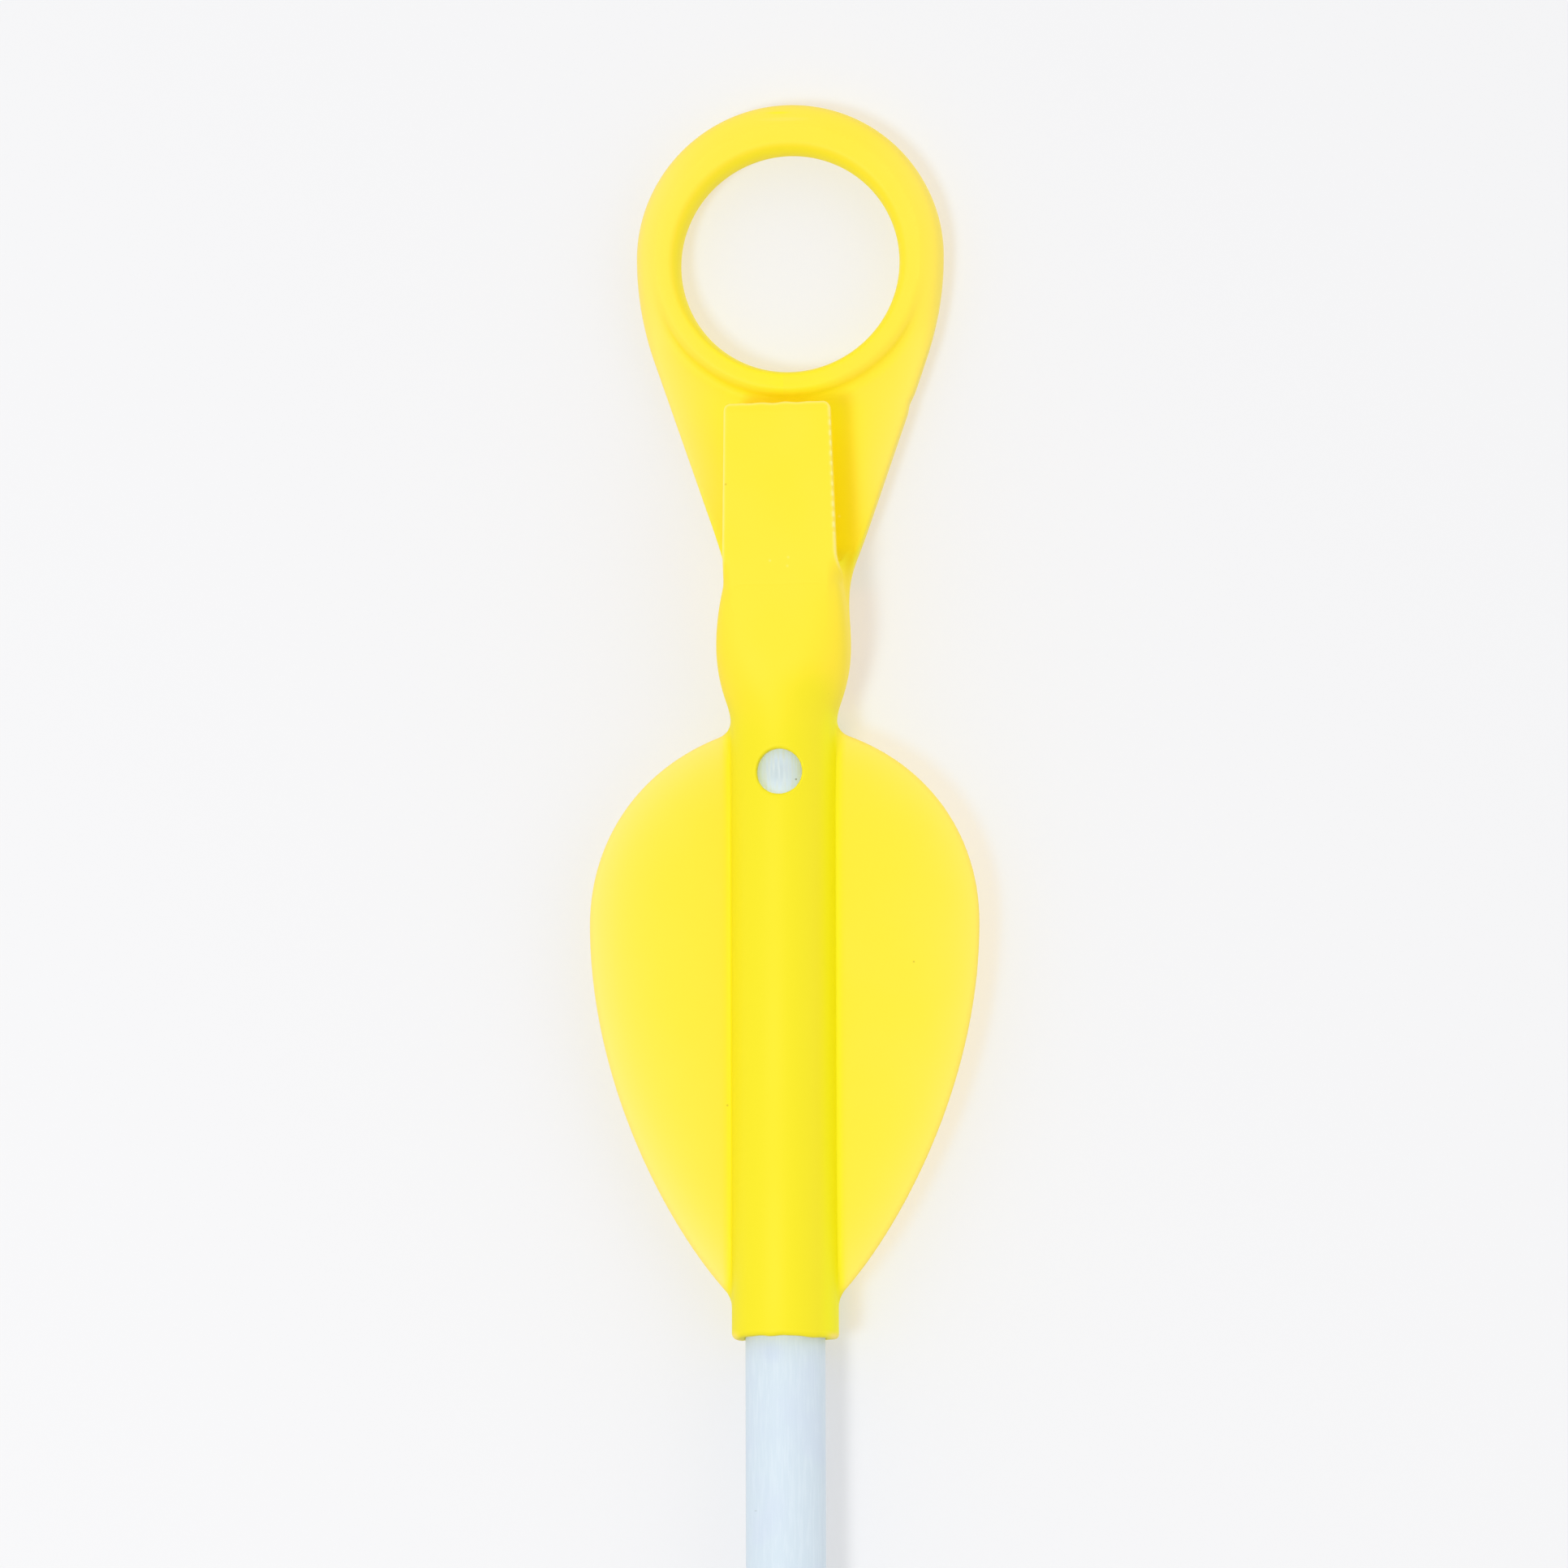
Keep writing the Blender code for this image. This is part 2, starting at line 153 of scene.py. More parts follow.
def mixed(tree, share, first, second):
    """A colour between two colours, by a share."""
    node = tree.nodes.new("ShaderNodeMix")
    node.data_type = "RGBA"
    tree.links.new(share, node.inputs[0])
    for socket, value in ((node.inputs[6], first), (node.inputs[7], second)):
        if isinstance(value, tuple):
            socket.default_value = value
        else:
            tree.links.new(value, socket)
    return node.outputs[2]


def new_group(name, inputs, outputs):
    """An empty shader node group with named value inputs and named outputs."""
    group = bpy.data.node_groups.new(name, "ShaderNodeTree")
    for label, default in inputs.items():
        socket = group.interface.new_socket(label, in_out="INPUT", socket_type="NodeSocketFloat")
        socket.default_value = default
    for label in outputs:
        group.interface.new_socket(label, in_out="OUTPUT", socket_type="NodeSocketFloat")
    return group, group.nodes.new("NodeGroupInput"), group.nodes.new("NodeGroupOutput")


def build_surface_grain():
    """Fine satin texture and slow unevenness, as a moulded or drawn resin surface has."""
    group, given, result = new_group(
        "surface_grain", {"Grain Size": 0.0002, "Patch Size": 0.012}, ("Height", "Patches")
    )
    place = group.nodes.new("ShaderNodeTexCoord").outputs["Object"]
    for size, output, detail in (("Grain Size", "Height", 3.0), ("Patch Size", "Patches", 2.0)):
        noise = group.nodes.new("ShaderNodeTexNoise")
        noise.inputs["Detail"].default_value = detail
        group.links.new(place, noise.inputs["Vector"])
        group.links.new(math_node(group, "DIVIDE", 1.0, given.outputs[size]), noise.inputs["Scale"])
        group.links.new(noise.outputs["Fac"], result.inputs[output])
    return group


def build_stray_specks():
    """Sparse specks of dust and pigment, each a small dot somewhere inside its own cell."""
    group, given, result = new_group(
        "stray_specks", {"Spacing": 0.006, "Share": 0.12, "Speck Size": 0.03}, ("Specks",)
    )
    place = group.nodes.new("ShaderNodeTexCoord").outputs["Object"]
    cells = group.nodes.new("ShaderNodeTexVoronoi")
    group.links.new(place, cells.inputs["Vector"])
    group.links.new(math_node(group, "DIVIDE", 1.0, given.outputs["Spacing"]), cells.inputs["Scale"])
    pick = group.nodes.new("ShaderNodeSeparateColor")
    group.links.new(cells.outputs["Color"], pick.inputs["Color"])
    chosen = math_node(group, "LESS_THAN", pick.outputs["Red"], given.outputs["Share"])
    size = math_node(group, "MULTIPLY", pick.outputs["Green"], given.outputs["Speck Size"])
    dot = math_node(group, "LESS_THAN", cells.outputs["Distance"], size)
    group.links.new(math_node(group, "MULTIPLY", chosen, dot), result.inputs["Specks"])
    return group


MARK_CORE = 0.1
MARK_DEPTH_WEIGHT = 0.2


def build_small_mark():
    """One small scuff or fleck at a given place, longer along the wand than across it where asked.

    Heights count less than the other ways, so that a mark lies on its surface where that is curved.
    """
    group, given, result = new_group(
        "small_mark", {"Across": 0.0, "Along": 0.0, "Up": 0.0, "Size": 0.0002, "Length": 1.0}, ("Mark",)
    )
    place = group.nodes.new("ShaderNodeSeparateXYZ")
    group.links.new(group.nodes.new("ShaderNodeTexCoord").outputs["Object"], place.inputs[0])
    total = None
    for axis, name in (("X", "Across"), ("Y", "Along"), ("Z", "Up")):
        offset = math_node(group, "SUBTRACT", place.outputs[axis], given.outputs[name])
        if axis == "Y":
            offset = math_node(group, "DIVIDE", offset, given.outputs["Length"])
        if axis == "Z":
            offset = math_node(group, "MULTIPLY", offset, MARK_DEPTH_WEIGHT)
        square = math_node(group, "MULTIPLY", offset, offset)
        total = math_node(group, "ADD", total, square) if total else square
    reach = math_node(group, "DIVIDE", math_node(group, "SQRT", total, 0.0), given.outputs["Size"])
    away = fitted(group, reach, MARK_CORE, 1.0)
    group.links.new(math_node(group, "SUBTRACT", 1.0, away), result.inputs["Mark"])
    return group


surface_grain = build_surface_grain()
stray_specks = build_stray_specks()
small_mark = build_small_mark()


def placed_group(tree, group, **values):
    """A shared effect in one material, with that material's own values."""
    node = tree.nodes.new("ShaderNodeGroup")
    node.node_tree = group
    for key, value in values.items():
        node.inputs[key.replace("_", " ").title()].default_value = value
    return node


def in_frame(points):
    """Points of (x, station, height) moved to the model's frame."""
    return (np.asarray(points) + np.array((0, mouth_y, axis_height))).tolist()


def marked(tree, colour, mark_colour, places, size, strength, length=1.0):
    """A colour with small marks of another colour at places given as (x, station, height)."""
    for across, along, up in in_frame(places):
        mark = placed_group(tree, small_mark, across=across, along=along, up=up, size=size, length=length)
        share = math_node(tree, "MULTIPLY", mark.outputs["Mark"], strength)
        colour = mixed(tree, share, colour, mark_colour)
    return colour


def new_finish(name):
    """A new material, its node tree and its main shader."""
    material = bpy.data.materials.new(name)
    material.use_nodes = True
    return material, material.node_tree, material.node_tree.nodes["Principled BSDF"]


def roughened(tree, shader, mask, base, more):
    """A shader made rougher than its base value where a mask is."""
    roughness = math_node(tree, "MULTIPLY_ADD", mask, more)
    roughness.node.inputs[2].default_value = base
    tree.links.new(roughness, shader.inputs["Roughness"])


def embossed(tree, shader, height, strength, depth):
    """A shader with fine relief from a height."""
    bump = tree.nodes.new("ShaderNodeBump")
    bump.inputs["Strength"].default_value = strength
    bump.inputs["Distance"].default_value = depth
    tree.links.new(height, bump.inputs["Height"])
    tree.links.new(bump.outputs["Normal"], shader.inputs["Normal"])


ROD_COLOUR = (0.61, 0.705, 0.78, 1)
ROD_STREAK_COLOUR = (0.645, 0.735, 0.805, 1)
ROD_PATCH_COLOUR = (0.60, 0.675, 0.79, 1)
ROD_PATCH_SHARE = 0.5
ROD_PATCH_SPAN = (0.45, 0.75)
ROD_SPECK_COLOUR = (0.3, 0.33, 0.3, 1)
ROD_SPECK_SHARE = 0.6
FIBRES_PER_METRE = (3000, 260, 3000)
STREAK_SPAN = (0.42, 0.68)

# In the sight hole the rod is painted paler and bluer round the edge, as painted light that lifts the wall's
# shade and balances the yellow light there, and painted darker in its middle, as painted shade
SIGHT_HOLE_STATION = 0.0706
ROD_PAINTED_LIGHT_COLOUR = (0.66, 0.79, 1.0, 1)
ROD_PAINTED_LIGHT_ACROSS = 0.0005
ROD_PAINTED_LIGHT_SIZE = 0.0080
ROD_PAINTED_SHADE_COLOUR = (0.545, 0.645, 0.73, 1)
ROD_PAINTED_SHADE_ACROSS = -0.0001
ROD_PAINTED_SHADE_SIZE = 0.0027

SMUDGE_COLOUR = (0.52, 0.60, 0.80, 1)
SMUDGE_PLACES = [(-0.0012, -0.0019, 0.0049)]
ROD_FLECK_COLOUR = (0.25, 0.27, 0.25, 1)
ROD_FLECK_PLACES = [(-0.0034, -0.0217, 0.0038)]
HOLE_DOT_COLOUR = (0.2, 0.2, 0.15, 1)
HOLE_DOT_PLACES = [(0.0020, 0.0697, 0.0045)]


def fibreglass_finish():
    """Pale resin with lengthwise fibre streaks, faint handling patches and a few dark flecks, and painted
    light and shade where it shows in the sight hole.
    """
    material, tree, shader = new_finish("pale_fibreglass")
    stretch = tree.nodes.new("ShaderNodeMapping")
    stretch.inputs["Scale"].default_value = FIBRES_PER_METRE
    tree.links.new(tree.nodes.new("ShaderNodeTexCoord").outputs["Object"], stretch.inputs["Vector"])
    fibres = tree.nodes.new("ShaderNodeTexNoise")
    fibres.inputs["Scale"].default_value = 1.0
    fibres.inputs["Detail"].default_value = 4.0
    tree.links.new(stretch.outputs["Vector"], fibres.inputs["Vector"])
    streaks = fitted(tree, fibres.outputs["Fac"], *STREAK_SPAN)
    grain = placed_group(tree, surface_grain, grain_size=0.00025, patch_size=0.006)
    patches = fitted(tree, grain.outputs["Patches"], *ROD_PATCH_SPAN)
    specks = placed_group(tree, stray_specks, spacing=0.009, share=0.10, speck_size=0.02)
    at_hole = {"along": mouth_y + SIGHT_HOLE_STATION, "up": rod_high.z}
    # Painted light round the sight hole's edge and painted shade in its middle
    lit = placed_group(tree, small_mark, across=ROD_PAINTED_LIGHT_ACROSS, size=ROD_PAINTED_LIGHT_SIZE, **at_hole)
    shaded = placed_group(tree, small_mark, across=ROD_PAINTED_SHADE_ACROSS, size=ROD_PAINTED_SHADE_SIZE, **at_hole)
    colour = mixed(tree, lit.outputs["Mark"], ROD_COLOUR, ROD_PAINTED_LIGHT_COLOUR)
    colour = mixed(tree, shaded.outputs["Mark"], colour, ROD_PAINTED_SHADE_COLOUR)
    colour = mixed(tree, streaks, colour, ROD_STREAK_COLOUR)
    colour = mixed(tree, math_node(tree, "MULTIPLY", patches, ROD_PATCH_SHARE), colour, ROD_PATCH_COLOUR)
    dark = math_node(tree, "MULTIPLY", specks.outputs["Specks"], ROD_SPECK_SHARE)
    colour = mixed(tree, dark, colour, ROD_SPECK_COLOUR)
    colour = marked(tree, colour, SMUDGE_COLOUR, SMUDGE_PLACES, size=0.0022, strength=0.30)
    colour = marked(
        tree, colour, ROD_FLECK_COLOUR, ROD_FLECK_PLACES, size=0.0003, strength=0.35, length=0.4
    )
    colour = marked(tree, colour, HOLE_DOT_COLOUR, HOLE_DOT_PLACES, size=0.0002, strength=0.8)
    tree.links.new(colour, shader.inputs["Base Color"])
    shader.inputs["Specular IOR Level"].default_value = 0.14
    roughened(tree, shader, streaks, base=0.44, more=0.12)
    embossed(tree, shader, fibres.outputs["Fac"], strength=0.35, depth=0.00004)
    return material


rod.data.materials.append(fibreglass_finish())
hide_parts("fibreglass_rod")
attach(rod, "head")


# Moulded head
# One satin polypropylene moulding: a ring with a raised rim, a tapering plate, a thick neck, a sleeve
# moulded round the rod and two thin wings. Its forms run into one another in moulded fillets.
sleeve_radius = head_high.z - axis_height
leaf_half_width = head_high.x
ring_top = head_high.y - mouth_y


def rounded_corner(first, second, radius):
    """Where two walls meet inside a solid, with the outer edge between them rounded."""
    outside = np.hypot(np.maximum(first + radius, 0), np.maximum(second + radius, 0))
    return outside + np.minimum(np.maximum(first, second), -radius)


def oval_corner(first, second, width, height):
    """Where two walls meet inside a solid, with an oval edge that reaches its width and height along them.

    The two small sums keep the division safe deep inside the solid.
    """
    across = np.maximum(first / width + 1, 0)
    along = np.maximum(second / height + 1, 0)
    reach = np.hypot(across, along) + 1e-6
    steepness = np.hypot(across / width, along / height) + 1e-3
    return (reach - 1) * reach / steepness


def melted(first, second, fillet):
    """Two solids run together, with a moulded fillet that reaches about that far along each."""
    share = np.clip(0.5 + 0.5 * (second - first) / fillet, 0, 1)
    return second + (first - second) * share - fillet * share * (1 - share)


def step_up(value, start, end):
    """A smooth climb from 0 at start to 1 at end."""
    share = np.clip((value - start) / (end - start), 0, 1)
    return share * share * (3 - 2 * share)


# Sleeve and neck
MOUTH_LIP = 0.0006
MOUTH_RIPPLE = 0.00004
MOUTH_RIPPLE_LENGTH = 0.0007
MOUTH_FINE_RIPPLE = 0.00003
MOUTH_FINE_RIPPLE_LENGTH = 0.0004
MOUTH_SAG = 0.0002
MOUTH_SAG_SPAN = (0.0005, 0.0055)
MOUTH_DRIP = 0.0002
MOUTH_DRIP_PLACE = -0.0058
MOUTH_DRIP_WIDTH = 0.0008
NECK_WIDEST = 0.0870
NECK_HALF_WIDTH = 0.0085
NECK_LOWER_RADIUS = 0.0206
NECK_UPPER_RADIUS = 0.0359
NECK_FALL_START = 0.0810
NECK_FALL = 4.8
NECK_SQUARENESS = 5.0
NECK_SQUARING_SPAN = (0.0790, 0.0960)
NECK_WAIST_FILLET = 0.0006
NECK_END = 0.0976
# The half width above was read in a view from the right, which shows this share of a squared side
NECK_SIDE_SHARE = 0.4
VIEW_FROM_RIGHT = math.radians(6.0)


def mouth_edge(x):
    """Station of the sleeve's mouth: a little ragged, lower at the right, with a drip at the left."""
    ripple = MOUTH_RIPPLE * np.sin(x / MOUTH_RIPPLE_LENGTH)
    ripple = ripple + MOUTH_FINE_RIPPLE * np.cos(x / MOUTH_FINE_RIPPLE_LENGTH)
    drip = MOUTH_DRIP * np.exp(-(((x - MOUTH_DRIP_PLACE) / MOUTH_DRIP_WIDTH) ** 2))
    return ripple - MOUTH_SAG * step_up(x, *MOUTH_SAG_SPAN) - drip


def squared_oval(x, height, half_width, half_depth, power):
    """About the distance from a section between an oval, at power 2, and a rounded box, at higher powers."""
    least = 1e-4
    across = np.maximum(np.abs(x) / half_width, least)
    along = np.maximum(np.abs(height) / half_depth, least)
    total = across**power + along**power
    reach = total ** (1 / power)
    slope = np.hypot(across ** (power - 1) / half_width, along ** (power - 1) / half_depth) * reach / total
    return (reach - 1) / slope


def stem_form(x, station, height):
    """Round sleeve on the rod that swells into the neck and squares off towards the clip."""
    offset = station - NECK_WIDEST
    arc = np.where(offset < 0, NECK_LOWER_RADIUS, NECK_UPPER_RADIUS)
    drop = arc - np.sqrt(np.maximum(arc * arc - offset * offset, 0))
    fall = np.maximum(station - NECK_FALL_START, 0)
    half_depth = sleeve_radius - NECK_FALL * fall * fall
    squaring = step_up(station, *NECK_SQUARING_SPAN)
    side_shown = NECK_SIDE_SHARE * squaring * half_depth * math.tan(VIEW_FROM_RIGHT)
    swell = NECK_HALF_WIDTH - drop - side_shown
    waist = -melted(-swell, -sleeve_radius, NECK_WAIST_FILLET)
    half_width = np.where(offset > 0, swell, waist)
    wall = squared_oval(x, height, half_width, half_depth, 2 + (NECK_SQUARENESS - 2) * squaring)
    wall = rounded_corner(wall, mouth_edge(x) - station, MOUTH_LIP)
    return np.maximum(wall, station - NECK_END)


# Wings
LEAF_TOP = 0.0761
LEAF_WIDEST = 0.0520
LEAF_BOTTOM = 0.0050
LEAF_SHOULDER_SLOPE = math.radians(18)
LEAF_SHOULDER_PULL = 0.0125
LEAF_WIDEST_PULL_UP = 0.0105
LEAF_WIDEST_PULL_DOWN = 0.0210
LEAF_TAIL_SLOPE = math.radians(46)
LEAF_TAIL_PULL = 0.0100
LEAF_CURVE_STEPS = 200
LEAF_HALF_THICK = 0.0012
LEAF_EDGE_THICK = 0.0005
LEAF_THINNING = 0.0045


def leaf_curve():
    """Points (half width, station) of the leaf's edge, on two curves that meet at its widest point."""
    tail = np.array((sleeve_radius, LEAF_BOTTOM))
    widest = np.array((leaf_half_width, LEAF_WIDEST))
    shoulder = np.array((sleeve_radius, LEAF_TOP))
    tail_way = np.array((math.cos(LEAF_TAIL_SLOPE), math.sin(LEAF_TAIL_SLOPE)))
    shoulder_way = np.array((math.cos(LEAF_SHOULDER_SLOPE), -math.sin(LEAF_SHOULDER_SLOPE)))
    share = np.linspace(0, 1, LEAF_CURVE_STEPS)[:, None]

    def bezier(a, b, c, d):
        rest = 1 - share
        return rest**3 * a + 3 * rest**2 * share * b + 3 * rest * share**2 * c + share**3 * d

    tail_pull = tail + LEAF_TAIL_PULL * tail_way
    shoulder_pull = shoulder + LEAF_SHOULDER_PULL * shoulder_way
    lower = bezier(tail, tail_pull, widest - (0, LEAF_WIDEST_PULL_DOWN), widest)
    upper = bezier(widest, widest + (0, LEAF_WIDEST_PULL_UP), shoulder_pull, shoulder)
    return np.vstack((lower, upper[1:]))


leaf_points = leaf_curve()
leaf_slopes = np.gradient(leaf_points[:, 0], leaf_points[:, 1])


def leaf_inset(x, station):
    """Signed distance from the leaf's outline, negative inside it."""
    half_width = np.interp(station, leaf_points[:, 1], leaf_points[:, 0])
    slope = np.interp(station, leaf_points[:, 1], leaf_slopes)
    above = np.maximum(station - LEAF_TOP, 0)
    below = np.maximum(LEAF_BOTTOM - station, 0)
    half_width = half_width + above * leaf_slopes[-1] - below * leaf_slopes[0]
    return (np.abs(x) - half_width) / np.sqrt(1 + slope * slope)


def leaf_form(x, station, height):
    """Two wings in the plane of the rod's axis, thinning towards their edges."""
    inset = leaf_inset(x, station)
    depth = np.maximum(-inset, 0)
    half_thick = LEAF_HALF_THICK - (LEAF_HALF_THICK - LEAF_EDGE_THICK) * np.exp(-depth / LEAF_THINNING)
    return rounded_corner(inset, np.abs(height) - half_thick, LEAF_EDGE_THICK)


# Ring and its plate
HOLE_RADIUS = 0.01393
HOLE_STATION = 0.1362
HOLE_ROUND = 0.0014
HOLE_FOOT_ROUND_SHARE = 0.6
RIM_OUTER_RADIUS = 0.0176
RIM_OUTER_STATION = 0.1367
RIM_HALF_HEIGHT = 0.0032
RIM_ROUND = 0.0011
RIM_FOOT_FILLET = 0.0013
RIM_CROWN_FILLET = 0.0021
SHOULDER_REACH = 0.0029
SHOULDER_RISE = 0.0020
SHOULDER_EDGE = 0.0010
SHOULDER_SPAN = (0.121, 0.135)
SHOULDER_FILLET = 0.0005
PLATE_RADIUS = 0.0195
PLATE_SIDE_RADIUS = 0.0397
PLATE_SLOPE = math.radians(19.1)
PLATE_HALF_THICK = 0.0014
PLATE_LOW_EDGE = 0.0005
PLATE_HIGH_EDGE = 0.0013
PLATE_EDGE_SPAN = (0.115, 0.135)
PLATE_UNDER_RIM = 0.001
PLATE_NICK_STATION = 0.1181
PLATE_NICK_DEPTH = 0.00016
PLATE_NICK_LENGTH = 0.0008
RING_LEAN = 0.0006
RING_LEAN_SPAN = (0.086, 0.103)
hole_foot = HOLE_STATION - HOLE_RADIUS
rim_fillet_span = (hole_foot, HOLE_STATION + 0.004)
plate_station = ring_top - PLATE_RADIUS
plate_height = RIM_HALF_HEIGHT - axis_height


def ring_lean(station):
    """How far the ring end has warped to the right as the moulding cooled."""
    return RING_LEAN * step_up(station, *RING_LEAN_SPAN)


def from_ring_middle(x, station, middle):
    """Distance from a point on the leaning ring's own middle line."""
    return np.hypot(x - ring_lean(station), station - middle)


def plate_inset(x, station):
    """Signed distance from the ring plate's teardrop outline, negative inside it."""
    side_centre = PLATE_SIDE_RADIUS - PLATE_RADIUS
    across = np.abs(x - ring_lean(station))
    down = plate_station - station
    crown = np.hypot(across, down) - PLATE_RADIUS
    side = np.hypot(across + side_centre, down) - PLATE_SIDE_RADIUS
    flank = (across + side_centre) * math.cos(PLATE_SLOPE) + down * math.sin(PLATE_SLOPE) - PLATE_SIDE_RADIUS
    past_side = np.arctan2(down, across + side_centre) > PLATE_SLOPE
    from_nick = (station - PLATE_NICK_STATION) / PLATE_NICK_LENGTH
    nick = PLATE_NICK_DEPTH * (x > 0) * np.exp(-(from_nick**2))
    return np.where(down < 0, crown, np.where(past_side, flank, side)) + nick


def plate_form(x, station, height):
    """Flat plate that carries the ring and tapers to the neck."""
    to_hole = RIM_OUTER_RADIUS - from_ring_middle(x, station, RIM_OUTER_STATION)
    outline = np.maximum(plate_inset(x, station), to_hole - PLATE_UNDER_RIM)
    outline = np.maximum(outline, NECK_WIDEST - station)
    rise = step_up(station, *PLATE_EDGE_SPAN)
    edge = PLATE_LOW_EDGE + (PLATE_HIGH_EDGE - PLATE_LOW_EDGE) * rise
    return rounded_corner(outline, np.abs(height - plate_height) - PLATE_HALF_THICK, edge)


def rim_form(x, station, height):
    """Raised rim with a rounded hole, a little wider at the top of the ring."""
    inner = HOLE_RADIUS - from_ring_middle(x, station, HOLE_STATION)
    outer = from_ring_middle(x, station, RIM_OUTER_STATION) - RIM_OUTER_RADIUS
    faces = np.abs(height - plate_height) - RIM_HALF_HEIGHT
    rise = step_up(station, hole_foot, HOLE_STATION)
    round_width = HOLE_ROUND * (HOLE_FOOT_ROUND_SHARE + (1 - HOLE_FOOT_ROUND_SHARE) * rise)
    hole_side = oval_corner(inner, faces, round_width, RIM_HALF_HEIGHT)
    return np.maximum(hole_side, rounded_corner(outer, faces, RIM_ROUND))


def shoulder_form(x, station, height):
    """Rounded shoulder that carries the rim's height out to the ring's edge, all but at its foot."""
    inset = -plate_inset(x, station)
    inner = HOLE_RADIUS + HOLE_ROUND - from_ring_middle(x, station, HOLE_STATION)
    reach = np.clip(inset / SHOULDER_REACH, 0, 1)
    crown = np.sqrt(np.maximum(1 - (1 - reach) ** 2, 0))
    half_height = SHOULDER_EDGE + SHOULDER_RISE * crown * step_up(station, *SHOULDER_SPAN)
    wall = np.maximum(inner, -inset)
    return rounded_corner(wall, np.abs(height - plate_height) - half_height, SHOULDER_EDGE)


def ring_form(x, station, height):
    """Plate, rim and shoulder run together within the ring's own outline and depth."""
    rise = step_up(station, *rim_fillet_span)
    fillet = RIM_FOOT_FILLET + (RIM_CROWN_FILLET - RIM_FOOT_FILLET) * rise
    ring = melted(plate_form(x, station, height), rim_form(x, station, height), fillet)
    ring = melted(ring, shoulder_form(x, station, height), SHOULDER_FILLET)
    ring = np.maximum(ring, plate_inset(x, station))
    return np.maximum(ring, np.abs(height - plate_height) - RIM_HALF_HEIGHT)


# The tongue's shape, of which the head carries the root
TONGUE_TIP = 0.1174
TONGUE_TIP_TOP = 0.0050
TONGUE_TIP_HALF_WIDTH = 0.0067
TIP_SLANT = 0.014
TIP_WAVE = 0.00007
TIP_WAVE_LENGTH = 0.0005
TIP_SWELL_LENGTH = 0.0031
TIP_DIP = 0.0002
TIP_DIP_LENGTH = 0.0012
TONGUE_ROOT = 0.0970
TONGUE_ROOT_HALF_WIDTH = 0.00715
ROOT_TAPER = 0.4
ROOT_TAPER_START = 0.0940
ROOT_FLAT = 0.0060
ROOT_FALL = 1100
ROOT_FALL_SPAN = (0.0938, 0.0980)
ROOT_CROWN = 7.0
ROOT_CROWN_SPAN = (0.0940, 0.1000)
TONGUE_RISE = 0.037
TONGUE_THICK = 0.0022
TONGUE_CORNER = 0.0009
TONGUE_EDGE_ROUND = 0.0003
TONGUE_LEAN = 0.0003
TONGUE_LEAN_MOST = 1.2
TONGUE_FLARE = 0.0010
TONGUE_FLARE_SPAN = (0.0936, 0.0986)


def tongue_inset(x, station):
    """Signed distance from the tongue's outline seen from the front, negative inside it."""
    share = (station - TONGUE_ROOT) / (TONGUE_TIP - TONGUE_ROOT)
    half_width = TONGUE_ROOT_HALF_WIDTH + (TONGUE_TIP_HALF_WIDTH - TONGUE_ROOT_HALF_WIDTH) * share
    half_width = half_width - ROOT_TAPER * np.maximum(ROOT_TAPER_START - station, 0)
    flare = TONGUE_FLARE * (1 - step_up(station, *TONGUE_FLARE_SPAN))
    across = x + TONGUE_LEAN * np.clip(share, 0, TONGUE_LEAN_MOST)
    sides = np.maximum(across - flare, -across) - half_width
    wave = np.sin(x / TIP_WAVE_LENGTH) * np.cos(x / TIP_SWELL_LENGTH)
    tip = TONGUE_TIP + TIP_SLANT * x + TIP_WAVE * wave
    return rounded_corner(sides, station - tip, TONGUE_CORNER)


def tongue_form(x, station, height):
    """Spring tongue of the clip: a flat tapering strip over the plate, thicker towards its root."""
    outline = np.maximum(tongue_inset(x, station), NECK_WIDEST - station)
    crown = ROOT_CROWN * (1 - step_up(station, *ROOT_CROWN_SPAN)) * x * x
    top = TONGUE_TIP_TOP + TONGUE_RISE * (TONGUE_TIP - station) - crown
    top = top - TIP_DIP * step_up(station, TONGUE_TIP - TIP_DIP_LENGTH, TONGUE_TIP)
    past_flat = np.maximum(np.abs(x) - ROOT_FLAT, 0)
    top = top - ROOT_FALL * (1 - step_up(station, *ROOT_FALL_SPAN)) * past_flat**2
    below = TONGUE_TIP_TOP - TONGUE_THICK - height
    return rounded_corner(outline, np.maximum(height - top, below), TONGUE_EDGE_ROUND)


# The head in one, with a hidden seam where the tongue's own piece takes over
BORE_CLEARANCE = 0.00004
BORE_DEPTH = 0.0765
BORE_EDGE = 0.0002
SIGHT_HOLE_RADIUS = 0.00285
SIGHT_HOLE_EDGE = 0.0004
NECK_LEAN_SHARE = 0.5
NECK_FILLET = 0.0024
LEAF_FILLET = 0.00025
LEAF_TAIL_FILLET = 0.0007
LEAF_SHOULDER_FILLET = 0.0014
LEAF_FILLET_REACH = 0.004
TONGUE_FILLET = 0.0003
STUB_END = 0.0966
SEAM_START = 0.0935
SEAM_END = 0.0955
SEAM_HEIGHT_SPAN = (0.0010, 0.0022)
SEAM_INSET = 0.00005


def body_form(x, station, height):
    """Everything but the tongue: sleeve, neck, plate, rim and wings in one."""
    stem = stem_form(x - NECK_LEAN_SHARE * ring_lean(station), station, height)
    solid = melted(stem, ring_form(x, station, height), NECK_FILLET)
    above_tail = step_up(station, LEAF_BOTTOM, LEAF_BOTTOM + LEAF_FILLET_REACH)
    at_shoulder = step_up(station, LEAF_TOP - LEAF_FILLET_REACH, LEAF_TOP)
    fillet = LEAF_FILLET + LEAF_TAIL_FILLET * (1 - above_tail) + LEAF_SHOULDER_FILLET * at_shoulder
    return melted(solid, leaf_form(x, station, height), fillet)


